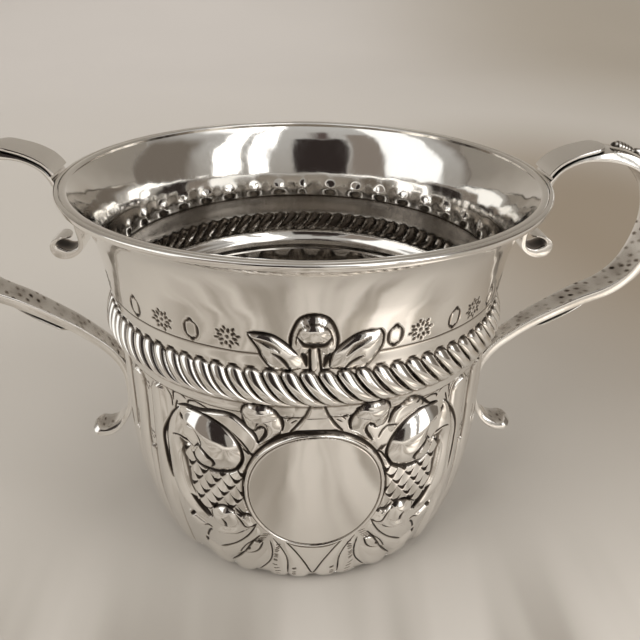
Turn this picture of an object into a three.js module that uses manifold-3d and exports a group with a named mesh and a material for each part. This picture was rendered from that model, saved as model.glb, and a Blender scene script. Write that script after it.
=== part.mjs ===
// Two-handled silver porringer, in millimetres, +Z up.
// The origin is the centre of the foot's underside. The cartouche faces -Y and the handles lie along X.
import * as THREE from 'three';
import { mergeVertices } from 'three/addons/utils/BufferGeometryUtils.js';
import Module from 'manifold-3d';

const wasm = await Module();
wasm.setup();

// Driving dimensions of the cup
const HEIGHT = 89.5;           // foot to lip
const RIM_RADIUS = 55;         // outer edge of the rim wire
const THROAT_RADIUS = 48.9;    // where the lip starts to flare
const NECK_RADIUS = 46.8;      // plain wall just above the rope
const GIRDLE_RADIUS = 45.4;    // wall under the rope strands
const BODY_RADIUS = 44;        // mean wall of the lobed lower body
const BASE_RADIUS = 36.8;      // where the lobes turn under
const WALL = 0.9;              // sheet thickness
const LIP_FLARE = 6;           // height of the flared lip
const NECK_DEPTH = 22;         // scored line above the rope, below the lip
const GAP = 0.3;               // clearance between pieces that touch

// Rope girdle
const ROPE_STRANDS = 80;
const ROPE_DROP = 3;           // scored line to the strands' tops
const ROPE_HEIGHT = 8.5;
const GIRDLE_MARGIN = 3.5;     // strands' tips to the chased line under them
const ROPE_LEAN = 11;          // degrees that a strand leans on its way down
const STRAND_HALF_ANGLE = 1.85;
const STRAND_RELIEF = 1.3;

// Lobes of the lower body: long ones from the chased line down, with short ones between their feet
const LOBES = 22;
const LOBE_START = 48;         // degrees from the front's middle to the first long lobe's crest
const LONG_LOBE_SPAN = 8.4;    // degrees across
const SHORT_LOBE_SPAN = 3.5;
const LONG_LOBE_DROP = 0.4;    // chased line to the long lobes' round tops
const SHORT_LOBE_DROP = 19.6;
const LOBE_RELIEF = 0.7;
const LOBE_SWIRL = 3;          // degrees that a lobe leans back by its foot
const LOBE_MARGIN = 2.5;       // chased line to the top of the swelling body

// Chased front
const FRONT_TURN = 1.5;        // degrees that its middle stands towards +X, as the hand set it
const CARTOUCHE_HALF_WIDTH = 15.4;
const CARTOUCHE_HALF_HEIGHT = 16.2;
const CARTOUCHE_DROP = 20;     // chased line to the cartouche's centre
const CARTOUCHE_BORDER = 1.1;
const SCROLL_SPAN = 27;        // degrees of scrolls on each side of the cartouche
const LOW_RELIEF = 0.6;
const HIGH_RELIEF = 1.2;
const SCALE_PITCH = 2.1;
const SCALE_ROWS = 6;

// Rim wire and foot ring
const RIM_WIRE_WIDTH = 0.8;
const RIM_WIRE_HEIGHT = 1.4;
const WIRE_SOFTNESS = 0.4;     // rounding of the wire's corners, as a share of its width
const FOOT_RADIUS = 32;
const FOOT_WIDTH = 2.4;
const FOOT_HEIGHT = 1.1;

// Handles
const STRAP_WIDTH = 10.5;      // beside the lip
const STRAP_END_WIDTH = 6.8;   // at the curls
const STRAP_THICKNESS = 1.2;   // where it lies on the cup, and at the curls
const STRAP_SWELL = 2.1;       // thickness of its outer bend
const STRAP_RISE = 4.6;        // upper limb above the lip
const HANDLE_REACH = 29.4;     // outermost strap line beyond the rim
const UPPER_CURL_RADIUS = 3.1;
const UPPER_CURL_DROP = 17.6;  // curl's centre below the lip
const LOWER_SEAT_DEPTH = 56;   // where the lower limb lies on the wall, below the lip
const LOWER_CURL_RADIUS = 6.3;
const SADDLE_LENGTH = 11.5;
const SADDLE_THICKNESS = 0.8;
const THUMB_SCROLL_RADIUS = 0.65;
const THUMB_SCROLL_WIDTH = 5.4;
const BEADS = 9;
const FIRST_BEAD_RADIUS = 1.5;
const LAST_BEAD_RADIUS = 0.7;
const BEAD_FLATNESS = 0.6;     // height of a bead as a share of its width
const BEAD_TAIL_TIP = 5;       // spine beyond the last bead
const SPUR_LENGTH = 17;
const SPUR_THICKNESS = 0.7;
const SPUR_WIDTH = 7;
const SPUR_SPRING = 0.5;       // how far the free tip stands off the strap

const SILVER = { color: 0xd9d4cc, roughness: 0.18, metalness: 1 };
const LATHE_STEPS = 56;
const HOLLOW_STEPS = 40;
const DEGREE = Math.PI / 180;

// A smooth curve through points whose first value always grows
function throughPoints(points) {
  const slopes = points.map((point, i) => {
    const before = points[Math.max(i - 1, 0)];
    const after = points[Math.min(i + 1, points.length - 1)];
    return (after[1] - before[1]) / (after[0] - before[0]);
  });
  return (at) => {
    const last = points.length - 1;
    const clamped = Math.min(Math.max(at, points[0][0]), points[last][0]);
    let i = 0;
    while (i < last - 1 && clamped > points[i + 1][0]) i += 1;
    const [x0, y0] = points[i];
    const [x1, y1] = points[i + 1];
    const span = x1 - x0;
    const t = (clamped - x0) / span;
    const rise = t * t * (3 - 2 * t);
    const start = t * (1 - t) * (1 - t) * slopes[i] * span;
    const end = t * t * (t - 1) * slopes[i + 1] * span;
    return y0 + (y1 - y0) * rise + start + end;
  };
}

// Heights of the bowl that follow from the driving dimensions
const BOWL_FOOT = FOOT_HEIGHT + GAP;
const LIP_RADIUS = RIM_RADIUS - RIM_WIRE_WIDTH - GAP;
const THROAT_HEIGHT = HEIGHT - LIP_FLARE;
const NECK_FOOT = HEIGHT - NECK_DEPTH;
const ROPE_TOP = NECK_FOOT - ROPE_DROP;
const ROPE_FOOT = ROPE_TOP - ROPE_HEIGHT;
const GIRDLE_FOOT = ROPE_FOOT - GIRDLE_MARGIN;
const LOBE_TOP = GIRDLE_FOOT - LOBE_MARGIN;
const LOBED_HEIGHT = LOBE_TOP - BOWL_FOOT;
const LONG_LOBE_TOP = GIRDLE_FOOT - LONG_LOBE_DROP;
const SHORT_LOBE_TOP = GIRDLE_FOOT - SHORT_LOBE_DROP;
const LOBE_PITCH = (360 - 2 * LOBE_START) / LOBES;
const CARTOUCHE_HEIGHT = GIRDLE_FOOT - CARTOUCHE_DROP;
const CARTOUCHE_EDGE = CARTOUCHE_HALF_WIDTH / BODY_RADIUS / DEGREE;

// The lower body swells from its base: shares of the lobed height and of the swelling
const SWELLING = [
  [0, 0], [0.025, 0.17], [0.072, 0.33], [0.167, 0.53], [0.249, 0.68], [0.414, 0.9], [0.617, 1],
];

// Radius of the outer face at each height, without lobes or strands
const lowerWall = throughPoints([
  ...SWELLING.map(([rise, swelling]) => [
    BOWL_FOOT + LOBED_HEIGHT * rise, THREE.MathUtils.lerp(BASE_RADIUS, BODY_RADIUS, swelling)]),
  [GIRDLE_FOOT, BODY_RADIUS + 0.1],
]);
const upperWall = throughPoints([
  [GIRDLE_FOOT - 0.8, BODY_RADIUS + 0.4],
  [GIRDLE_FOOT + 0.6, BODY_RADIUS + 0.9],
  [ROPE_FOOT - 1, GIRDLE_RADIUS - 0.2],
  [(ROPE_FOOT + ROPE_TOP) / 2, GIRDLE_RADIUS],
  [ROPE_TOP, GIRDLE_RADIUS + 0.5],
  [NECK_FOOT, NECK_RADIUS],
  [(NECK_FOOT + THROAT_HEIGHT) / 2, (NECK_RADIUS + THROAT_RADIUS) / 2 - 0.6],
  [THROAT_HEIGHT, THROAT_RADIUS],
  [THROAT_HEIGHT + LIP_FLARE * 0.5, THROAT_RADIUS + (LIP_RADIUS - THROAT_RADIUS) * 0.42],
  [HEIGHT - RIM_WIRE_HEIGHT * 0.6, LIP_RADIUS],
]);

function wallRadius(height) {
  return height < GIRDLE_FOOT ? lowerWall(height) : upperWall(height);
}

function onWall(angle, height, offset = 0) {
  const radius = wallRadius(height) + offset;
  return new THREE.Vector3(radius * Math.sin(angle), -radius * Math.cos(angle), height);
}

function volumeOf(geometry) {
  const corners = geometry.getAttribute('position');
  const index = geometry.getIndex();
  const [a, b, c] = [new THREE.Vector3(), new THREE.Vector3(), new THREE.Vector3()];
  let volume = 0;
  for (let i = 0; i < index.count; i += 3) {
    a.fromBufferAttribute(corners, index.getX(i));
    b.fromBufferAttribute(corners, index.getX(i + 1));
    c.fromBufferAttribute(corners, index.getX(i + 2));
    volume += a.dot(b.cross(c)) / 6;
  }
  return volume;
}

function closedGeometry(vertices, triangles) {
  const geometry = new THREE.BufferGeometry();
  const numbers = vertices.flatMap((v) => v.toArray());
  geometry.setAttribute('position', new THREE.Float32BufferAttribute(numbers, 3));
  geometry.setIndex(triangles);
  if (volumeOf(geometry) < 0) {
    geometry.setIndex(triangles.slice().reverse());
  }
  return geometry;
}

// A closed body through rings of equal length, drawn to a point or capped flat at each end
function loft(rings, start, end) {
  const count = rings[0].length;
  const vertices = rings.flat();
  const triangles = [];
  for (let ring = 0; ring < rings.length - 1; ring += 1) {
    for (let k = 0; k < count; k += 1) {
      const a = ring * count + k;
      const b = ring * count + (k + 1) % count;
      triangles.push(a, b, b + count, a, b + count, a + count);
    }
  }
  const lastRing = (rings.length - 1) * count;
  const startPoint = vertices.push(start) - 1;
  const endPoint = vertices.push(end) - 1;
  for (let k = 0; k < count; k += 1) {
    const next = (k + 1) % count;
    triangles.push(startPoint, next, k);
    triangles.push(endPoint, lastRing + k, lastRing + next);
  }
  return closedGeometry(vertices, triangles);
}

function toSolid(geometry) {
  const bare = geometry.clone();
  bare.deleteAttribute('normal');
  bare.deleteAttribute('uv');
  const merged = mergeVertices(bare);
  return new wasm.Manifold(new wasm.Mesh({
    numProp: 3,
    vertProperties: new Float32Array(merged.getAttribute('position').array),
    triVerts: new Uint32Array(merged.getIndex().array),
  }));
}

function fromSolid(solid) {
  const mesh = solid.getMesh();
  const geometry = new THREE.BufferGeometry();
  geometry.setAttribute('position', new THREE.Float32BufferAttribute(mesh.vertProperties, 3));
  geometry.setIndex(Array.from(mesh.triVerts));
  return geometry;
}

function joined(solids) {
  let level = solids;
  while (level.length > 1) {
    const next = [];
    for (let i = 0; i < level.length; i += 2) {
      next.push(i + 1 < level.length ? level[i].add(level[i + 1]) : level[i]);
    }
    level = next;
  }
  return level[0];
}

// Turned bodies have their profile in radius and height
function turned(profile, steps = LATHE_STEPS) {
  const points = profile.map(([radius, height]) => new THREE.Vector2(radius, height));
  const lathe = new THREE.LatheGeometry(points, steps);
  lathe.rotateX(Math.PI / 2);
  lathe.deleteAttribute('normal');
  lathe.deleteAttribute('uv');
  const merged = withoutSlivers(mergeVertices(lathe, 1e-4));
  const corners = merged.getAttribute('position');
  const vertices = [];
  for (let i = 0; i < corners.count; i += 1) {
    vertices.push(new THREE.Vector3().fromBufferAttribute(corners, i));
  }
  return closedGeometry(vertices, Array.from(merged.getIndex().array));
}

function withoutSlivers(geometry) {
  const index = geometry.getIndex().array;
  const kept = [];
  for (let i = 0; i < index.length; i += 3) {
    const [a, b, c] = [index[i], index[i + 1], index[i + 2]];
    if (a !== b && b !== c && c !== a) kept.push(a, b, c);
  }
  geometry.setIndex(kept);
  return geometry;
}

// How far a lobe with a round top stands out, as a share, some degrees from its crest
function lobeShare(off, span, below) {
  const reach = (span / 2) * DEGREE * BODY_RADIUS;
  const arch = 1 - THREE.MathUtils.clamp(below / reach, 0, 1);
  const half = reach * Math.sqrt(1 - arch ** 2);
  const gap = Math.abs(off) * DEGREE * BODY_RADIUS;
  return gap < half ? (1 - (gap / half) ** 2) ** 0.65 : 0;
}

// Turns are in degrees from the front's middle. A lobe leans back a little on its way down
function lobeLean(height) {
  return -LOBE_SWIRL * THREE.MathUtils.clamp((LONG_LOBE_TOP - height) / LONG_LOBE_TOP, 0, 1) ** 1.5;
}

// The columns of the lobed wall: plain in front, then a crest, shoulders, valleys and a short crest each
function lobeColumns() {
  const long = LONG_LOBE_SPAN / 2;
  const steps = [0, long * 0.55, long, LOBE_PITCH / 2, LOBE_PITCH - long, LOBE_PITCH - long * 0.55];
  const columns = [];
  for (let k = 0; k < LOBES; k += 1) {
    steps.forEach((step, i) => {
      const kind = i === 3 ? 'short' : 'long';
      const off = i === 3 ? 0 : Math.min(step, LOBE_PITCH - step);
      columns.push({ turn: LOBE_START + k * LOBE_PITCH + step, kind, off, leans: 1 });
    });
  }
  columns.push({ turn: 360 - LOBE_START, kind: 'long', off: 0, leans: 1 });
  const plain = 16;
  for (let k = 1; k < plain; k += 1) {
    const turn = 360 - LOBE_START + (k / plain) * 2 * LOBE_START;
    columns.push({ turn, kind: 'plain', off: 0, leans: 0 });
  }
  return columns;
}

function lobeOffset({ kind, off }, height) {
  if (kind === 'plain') return 0;
  const long = kind === 'long';
  const below = (long ? LONG_LOBE_TOP : SHORT_LOBE_TOP) - height;
  const span = long ? LONG_LOBE_SPAN : SHORT_LOBE_SPAN;
  return LOBE_RELIEF * (long ? 1 : 0.8) * lobeShare(off, span, below);
}

// The lobed lower body: a full solid whose outer face rises into lobes round the sides and back
function lowerBody() {
  const columns = lobeColumns();
  const rises = [0, 0.025, 0.08, 0.22, 0.42].map((share) => BOWL_FOOT + share * LOBED_HEIGHT);
  const shortReach = (SHORT_LOBE_SPAN / 2) * DEGREE * BODY_RADIUS;
  const longReach = (LONG_LOBE_SPAN / 2) * DEGREE * BODY_RADIUS;
  const heights = [
    ...rises, SHORT_LOBE_TOP - shortReach, SHORT_LOBE_TOP,
    LONG_LOBE_TOP - longReach, LONG_LOBE_TOP - longReach * 0.3, LONG_LOBE_TOP, GIRDLE_FOOT,
  ];
  const rings = heights.map((height) => columns.map((column) => {
    const turn = FRONT_TURN + column.turn + column.leans * lobeLean(height);
    return onWall(turn * DEGREE, height, lobeOffset(column, height));
  }));
  const floor = new THREE.Vector3(0, 0, BOWL_FOOT);
  const top = new THREE.Vector3(0, 0, GIRDLE_FOOT);
  return toSolid(loft(rings, floor, top));
}

function upperBody() {
  const heights = [
    GIRDLE_FOOT - 0.8, GIRDLE_FOOT + 0.6, ROPE_FOOT - 0.5, ROPE_TOP, NECK_FOOT,
    (NECK_FOOT + THROAT_HEIGHT) / 2, THROAT_HEIGHT, THROAT_HEIGHT + LIP_FLARE * 0.45,
    HEIGHT - RIM_WIRE_HEIGHT * 0.6,
  ];
  const outer = heights.map((height) => [upperWall(height), height]);
  const profile = [[0, heights[0]], ...outer, [LIP_RADIUS, HEIGHT], [0, HEIGHT]];
  return toSolid(turned(profile));
}

// The hollow keeps the sheet's thickness between the lobes
function cavity() {
  const floor = BOWL_FOOT + WALL;
  const lower = [0.033, 0.08, 0.2, 0.41].map((share) => floor + share * LOBED_HEIGHT);
  const upper = [(NECK_FOOT + THROAT_HEIGHT) / 2, THROAT_HEIGHT, THROAT_HEIGHT + LIP_FLARE * 0.5];
  const heights = [...lower, LOBE_TOP, ROPE_FOOT, NECK_FOOT, ...upper];
  const inner = heights.map((height) => [wallRadius(height) - WALL, height]);
  const mouth = LIP_RADIUS - WALL;
  const above = HEIGHT + 5;
  const bottom = [BASE_RADIUS - 3 - WALL, floor];
  const profile = [[0, floor], bottom, ...inner, [mouth, HEIGHT], [mouth, above], [0, above]];
  return toSolid(turned(profile, HOLLOW_STEPS));
}

// One strand of the rope: a petal that starts round at the top and thins to a point at the lower right
function ropeStrand(startAngle) {
  const stations = [
    { way: 0.18, width: 0.95, relief: 0.85 },
    { way: 0.7, width: 0.7, relief: 0.85 },
  ];
  const place = (way, turn, offset) => {
    const height = THREE.MathUtils.lerp(ROPE_TOP, ROPE_FOOT, way);
    return onWall((startAngle + ROPE_LEAN * way + turn) * DEGREE, height, offset);
  };
  const rings = stations.map(({ way, width, relief }) => [
    place(way, -STRAND_HALF_ANGLE * width, -0.15),
    place(way, 0, STRAND_RELIEF * relief),
    place(way, STRAND_HALF_ANGLE * width, -0.15),
    place(way, 0, -0.7),
  ]);
  return toSolid(loft(rings, place(0, 0, -0.2), place(1, 0, -0.2)));
}

function rope() {
  const pitch = 360 / ROPE_STRANDS;
  return Array.from({ length: ROPE_STRANDS }, (_, k) => ropeStrand(k * pitch));
}

// A chased form: an outline in degrees from the front's middle and heights, raised with sloping sides
function chased(outline, relief, { hole = null, slope = 0.6, smooth = 0 } = {}) {
  const reference = wallRadius(outline[0][1]);
  const laid = ([turn, height]) => new THREE.Vector2(turn * DEGREE * reference, height);
  const flat = (points) => points.map(laid);
  let edge = flat(outline);
  if (smooth > 0) {
    const loop = new THREE.CatmullRomCurve3(edge.map((p) => new THREE.Vector3(p.x, p.y, 0)), true);
    edge = loop.getPoints(smooth).slice(0, smooth).map((p) => new THREE.Vector2(p.x, p.y));
  }
  const shape = new THREE.Shape(edge);
  if (hole) {
    shape.holes.push(new THREE.Path(flat(hole)));
  }
  const sunk = 0.6;
  const bevelThickness = Math.min(relief * 0.7, relief - 0.05);
  const extruded = new THREE.ExtrudeGeometry(shape, {
    depth: sunk + relief - bevelThickness,
    bevelEnabled: slope > 0,
    bevelThickness,
    bevelSize: slope,
    bevelOffset: -slope,
    bevelSegments: 1,
    steps: 1,
  });
  const corners = extruded.getAttribute('position');
  for (let i = 0; i < corners.count; i += 1) {
    const angle = corners.getX(i) / reference + FRONT_TURN * DEGREE;
    const point = onWall(angle, corners.getY(i), corners.getZ(i) - sunk);
    corners.setXYZ(i, point.x, point.y, point.z);
  }
  return toSolid(extruded);
}

function mirrored(outline) {
  return outline.map(([turn, height]) => [-turn, height]).reverse();
}

function bothSides(outline, relief, options) {
  return [chased(outline, relief, options), chased(mirrored(outline), relief, options)];
}

function ellipse(halfWidth, halfHeight, count) {
  const degrees = CARTOUCHE_EDGE * (halfWidth / CARTOUCHE_HALF_WIDTH);
  return Array.from({ length: count }, (_, k) => {
    const angle = (k / count) * 2 * Math.PI;
    return [degrees * Math.cos(angle), CARTOUCHE_HEIGHT + halfHeight * Math.sin(angle)];
  });
}

// The oval border, with a triangle over it and one under it
function cartouche() {
  const field = [CARTOUCHE_HALF_WIDTH - CARTOUCHE_BORDER, CARTOUCHE_HALF_HEIGHT - CARTOUCHE_BORDER];
  const outer = ellipse(CARTOUCHE_HALF_WIDTH, CARTOUCHE_HALF_HEIGHT, 32);
  const inner = ellipse(...field, 32);
  const top = CARTOUCHE_HEIGHT + CARTOUCHE_HALF_HEIGHT;
  const foot = CARTOUCHE_HEIGHT - CARTOUCHE_HALF_HEIGHT;
  const upperTriangle = [[-8, top - 1.4], [8, top - 1.4], [1.8, ROPE_FOOT - 1], [-1.8, ROPE_FOOT - 1]];
  const lowerTriangle = [[-8.5, foot + 1.8], [0, BOWL_FOOT + 1.5], [8.5, foot + 1.8]];
  return [
    chased(outer, LOW_RELIEF, { hole: inner, slope: 0 }),
    chased(upperTriangle, LOW_RELIEF, { slope: 0.4 }),
    chased(lowerTriangle, LOW_RELIEF, { slope: 0.4 }),
  ];
}

// Turns an outline with heights above the strands' tops into one with heights of its own
function overRope(outline) {
  return outline.map(([turn, rise]) => [turn, ROPE_TOP + rise]);
}

// The same for degrees beyond the cartouche's side and heights above its centre
function besideCartouche(outline) {
  return outline.map(([turn, rise]) => [CARTOUCHE_EDGE + turn, CARTOUCHE_HEIGHT + rise]);
}

// The same for degrees beyond the cartouche's side and heights above the bowl's base
function overBase(outline) {
  return outline.map(([turn, rise]) => [CARTOUCHE_EDGE + turn, BOWL_FOOT + rise]);
}

// Leaf and bud finial that rises over the rope
function finial() {
  const bud = overRope([[0, 12.4], [3.2, 11], [5, 8], [4, 5], [0, 3.4], [-4, 5], [-5, 8], [-3.2, 11]]);
  const leaf = overRope([[15.5, 7.8], [15, 3.5], [11.5, -0.2], [6.5, -0.2], [3.4, 3.6], [7.5, 6.6]]);
  return [
    chased(bud, HIGH_RELIEF, { slope: 1, smooth: 14 }),
    ...bothSides(leaf, HIGH_RELIEF, { slope: 0.9 }),
  ];
}

// Scrolls beside the cartouche
function scrolls() {
  const volute = besideCartouche([[13, 16.5], [6.5, 15.2], [1.5, 11], [0.6, 7.2], [2.5, 3.6], [8.5, 2.5],
    [14, 5], [16, 9], [15.5, 13]]);
  const comma = besideCartouche([[-11, 21.8], [-5, 22.6], [-0.2, 20], [-2, 17.4], [-4.8, 13.6],
    [-7.5, 16.2]]);
  const outerScroll = besideCartouche([[14.6, 17.4], [21, 16], [25.4, 11], [26.6, 5], [26.4, -4], [22, -10.5],
    [13, -13], [18.5, -7], [21, -1], [20.6, 6], [18.2, 12.5]]);
  const lowerVolute = besideCartouche([[4.2, -10.2], [7.6, -7.6], [11.2, -8.6], [12.4, -11.4], [9.6, -14.4],
    [4.4, -14.2]]);
  const leaf = overBase([[-7.5, 14.9], [-1.5, 15.7], [4.5, 10.1], [9, 4.7], [2, 4.5], [-5, 8.5]]);
  const petal = overBase([[-10.6, 13.1], [-8, 9.5], [-5.6, 4.5], [-10.5, 3.9], [-13.6, 6.7]]);
  return [
    ...bothSides(volute, HIGH_RELIEF, { slope: 1.2, smooth: 16 }),
    ...bothSides(comma, HIGH_RELIEF, { slope: 0.8 }),
    ...bothSides(outerScroll, HIGH_RELIEF * 0.8, { slope: 0.6 }),
    ...bothSides(lowerVolute, HIGH_RELIEF, { slope: 0.8 }),
    ...bothSides(leaf, LOW_RELIEF, { slope: 0.6 }),
    ...bothSides(petal, LOW_RELIEF, { slope: 0.6 }),
  ];
}

// Rows of overlapping scales between the volute, the outer scroll and the cartouche
function scales() {
  const halfWidth = 2;
  const made = [];
  for (let row = 0; row < SCALE_ROWS; row += 1) {
    const top = CARTOUCHE_HEIGHT + 1.6 - row * SCALE_PITCH;
    const first = CARTOUCHE_EDGE + 5 + (row % 2) * halfWidth;
    const last = CARTOUCHE_EDGE + SCROLL_SPAN - 7.5 - halfWidth;
    for (let turn = first; turn < last; turn += 2 * halfWidth + 0.3) {
      const scale = [[turn - halfWidth, top], [turn - halfWidth * 0.8, top - 1.3], [turn, top - 1.9],
        [turn + halfWidth * 0.8, top - 1.3], [turn + halfWidth, top]];
      made.push(...bothSides(scale, LOW_RELIEF * 0.7, { slope: 0 }));
    }
  }
  return made;
}

function cupBody() {
  const chasing = [...cartouche(), ...finial(), ...scrolls(), ...scales()];
  const outside = joined([lowerBody(), upperBody(), ...rope(), ...chasing]);
  return fromSolid(outside.subtract(cavity()));
}

function rimWire() {
  const inner = LIP_RADIUS + GAP;
  const top = HEIGHT;
  const foot = HEIGHT - RIM_WIRE_HEIGHT;
  const soft = RIM_WIRE_WIDTH * WIRE_SOFTNESS;
  return turned([
    [inner, foot], [RIM_RADIUS - soft, foot], [RIM_RADIUS, foot + soft], [RIM_RADIUS, top - soft],
    [RIM_RADIUS - soft, top], [inner, top], [inner, foot],
  ]);
}

function footRing() {
  const half = FOOT_WIDTH / 2;
  return turned([
    [FOOT_RADIUS - half, 0], [FOOT_RADIUS + half, 0], [FOOT_RADIUS + half * 0.5, FOOT_HEIGHT],
    [FOOT_RADIUS - half * 0.5, FOOT_HEIGHT], [FOOT_RADIUS - half, 0],
  ]);
}

// The handle's line lies in the XZ plane: x outwards from the axis, z up
const SEAT_OFFSET = GAP + STRAP_THICKNESS / 2;
const LOWER_SEAT_RADIUS = BODY_RADIUS + LOBE_RELIEF * 0.8 + SEAT_OFFSET;
const LOWER_SEAT_HEIGHT = HEIGHT - LOWER_SEAT_DEPTH;

// A point at a distance from the bowl's outer face, square to it
function offWall(height, distance) {
  const slope = (wallRadius(height + 0.05) - wallRadius(height - 0.05)) / 0.1;
  const length = Math.hypot(1, slope);
  return [wallRadius(height) + distance / length, height - (distance * slope) / length];
}

// A point of the arc that the strap takes round the rim wire's lower edge
function roundWire(degrees) {
  const soft = RIM_WIRE_WIDTH * WIRE_SOFTNESS;
  const radius = soft + SEAT_OFFSET + 0.1;
  return [
    RIM_RADIUS - soft + radius * Math.cos(degrees * DEGREE),
    HEIGHT - RIM_WIRE_HEIGHT + soft + radius * Math.sin(degrees * DEGREE),
  ];
}

// The limbs: shares of the reach beyond the rim, with shares of the rise over the lip, of the drop from
// the lip to the lower seat, or of that drop with the reach measured from the lower seat
const UPPER_LIMB = [[0.095, 0.32], [0.214, 0.76], [0.364, 0.97], [0.507, 1], [0.663, 0.76]];
const OUTER_BEND = [
  [0.816, -0.014], [0.946, 0.075], [1, 0.196], [0.969, 0.315], [0.874, 0.428], [0.711, 0.51],
  [0.473, 0.57], [0.269, 0.629],
];
const LOWER_LIMB = [[0.408, 0.689], [0.286, 0.738], [0.16, 0.796], [0.065, 0.86], [0.01, 0.93], [0, 1]];

function strapLine() {
  const neck = wallRadius(THROAT_HEIGHT - LIP_FLARE * 0.5) + SEAT_OFFSET;
  const curl = { x: neck + UPPER_CURL_RADIUS * 2.03, z: HEIGHT - UPPER_CURL_DROP };
  const footDrop = LOWER_CURL_RADIUS * 1.19;
  const foot = { x: LOWER_SEAT_RADIUS + LOWER_CURL_RADIUS, z: LOWER_SEAT_HEIGHT - footDrop };
  const seatLine = neck + STRAP_THICKNESS * 0.2;
  const onArc = (centre, radius, degrees) => [
    centre.x + radius * Math.cos(degrees * DEGREE), centre.z + radius * Math.sin(degrees * DEGREE)];
  const points = [
    onArc(curl, UPPER_CURL_RADIUS * 0.7, 50), onArc(curl, UPPER_CURL_RADIUS * 0.95, 0),
    onArc(curl, UPPER_CURL_RADIUS, -50), onArc(curl, UPPER_CURL_RADIUS, -110),
    onArc(curl, UPPER_CURL_RADIUS * 1.3, -160),
    [seatLine + STRAP_THICKNESS * 0.54, THROAT_HEIGHT - LIP_FLARE * 1.07],
    [seatLine, THROAT_HEIGHT - LIP_FLARE * 0.5],
    offWall(THROAT_HEIGHT + LIP_FLARE * 0.2, SEAT_OFFSET + 0.1), roundWire(-70), roundWire(-35), roundWire(0),
    ...UPPER_LIMB.map(([out, up]) => [RIM_RADIUS + HANDLE_REACH * out, HEIGHT + STRAP_RISE * up]),
    ...OUTER_BEND.map(([out, down]) => [RIM_RADIUS + HANDLE_REACH * out, HEIGHT - LOWER_SEAT_DEPTH * down]),
    ...LOWER_LIMB.map(([out, down]) => [
      LOWER_SEAT_RADIUS + HANDLE_REACH * out, HEIGHT - LOWER_SEAT_DEPTH * down]),
    onArc(foot, LOWER_CURL_RADIUS, 183), onArc(foot, LOWER_CURL_RADIUS, 215),
    onArc(foot, LOWER_CURL_RADIUS, 250), onArc(foot, LOWER_CURL_RADIUS, 280),
    onArc(foot, LOWER_CURL_RADIUS * 0.93, 308),
  ];
  const placed = points.map(([x, z]) => new THREE.Vector3(x, 0, z));
  return new THREE.CatmullRomCurve3(placed, false, 'centripetal');
}

const LINE = strapLine();
const LINE_STEPS = 54;

function normalOf(curve, at) {
  const tangent = curve.getTangentAt(at);
  return new THREE.Vector3(-tangent.z, 0, tangent.x);
}

// Where along the handle's line it first passes a place
function nearest(curve, x, z) {
  let best = 0;
  let least = Infinity;
  for (let k = 0; k <= 400; k += 1) {
    const point = curve.getPointAt(k / 400);
    const distance = Math.hypot(point.x - x, point.z - z);
    if (distance < least) {
      least = distance;
      best = k / 400;
    }
  }
  return best;
}

const LIP_AT = nearest(LINE, RIM_RADIUS + SEAT_OFFSET + 0.4, HEIGHT - 0.4);
const LENGTH = LINE.getLength();

const strapWidth = throughPoints([
  [0, STRAP_END_WIDTH * 0.6], [0.05, STRAP_END_WIDTH], [LIP_AT * 0.75, STRAP_WIDTH * 0.92],
  [LIP_AT, STRAP_WIDTH], [0.45, STRAP_WIDTH * 0.98], [0.78, STRAP_END_WIDTH * 1.1],
  [0.9, STRAP_END_WIDTH * 0.9], [0.97, STRAP_END_WIDTH * 1.15], [1, STRAP_END_WIDTH * 0.7],
]);
const SWELL_AT = LIP_AT + SADDLE_LENGTH / LENGTH;
const strapThickness = throughPoints([
  [0, STRAP_THICKNESS], [SWELL_AT - 0.02, STRAP_THICKNESS], [SWELL_AT + 0.03, STRAP_SWELL],
  [0.5, STRAP_SWELL], [0.72, STRAP_THICKNESS], [1, STRAP_THICKNESS],
]);

// A strap's section: flat towards the hand, slightly domed on its back
function section(curve, at, offset, halfWidth, halfThickness, dome = 0.45) {
  const centre = curve.getPointAt(at);
  const out = normalOf(curve, at);
  const corner = (across, up) => centre.clone().addScaledVector(out, offset + up).setY(across);
  return [
    corner(-halfWidth, -halfThickness), corner(halfWidth, -halfThickness),
    corner(halfWidth, halfThickness * (1 - dome)), corner(halfWidth * 0.5, halfThickness),
    corner(-halfWidth * 0.5, halfThickness), corner(-halfWidth, halfThickness * (1 - dome)),
  ];
}

function centreOf(ring) {
  return ring.reduce((sum, point) => sum.add(point), new THREE.Vector3()).divideScalar(ring.length);
}

function capped(rings) {
  return loft(rings, centreOf(rings[0]), centreOf(rings[rings.length - 1]));
}

function handleStrap() {
  const rings = [];
  for (let k = 0; k <= LINE_STEPS; k += 1) {
    const at = k / LINE_STEPS;
    rings.push(section(LINE, at, 0, strapWidth(at) / 2, strapThickness(at) / 2));
  }
  return capped(rings);
}

// The saddle lies on the strap's back and ends in a low scroll
function saddleLine() {
  const points = [];
  const end = SWELL_AT - 0.5 / LENGTH;
  for (let k = 0; k <= 6; k += 1) {
    const at = THREE.MathUtils.lerp(LIP_AT, end, k / 6);
    const lift = strapThickness(at) / 2 + GAP + SADDLE_THICKNESS / 2;
    points.push(LINE.getPointAt(at).addScaledVector(normalOf(LINE, at), lift));
  }
  const tangent = LINE.getTangentAt(end);
  const out = normalOf(LINE, end);
  const centre = points[6].clone()
    .addScaledVector(out, THUMB_SCROLL_RADIUS)
    .addScaledVector(tangent, THUMB_SCROLL_RADIUS * 3.2);
  for (const degrees of [-50, 10, 70, 130]) {
    points.push(centre.clone()
      .addScaledVector(tangent, THUMB_SCROLL_RADIUS * Math.cos(degrees * DEGREE))
      .addScaledVector(out, THUMB_SCROLL_RADIUS * Math.sin(degrees * DEGREE)));
  }
  return new THREE.CatmullRomCurve3(points, false, 'centripetal');
}

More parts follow.
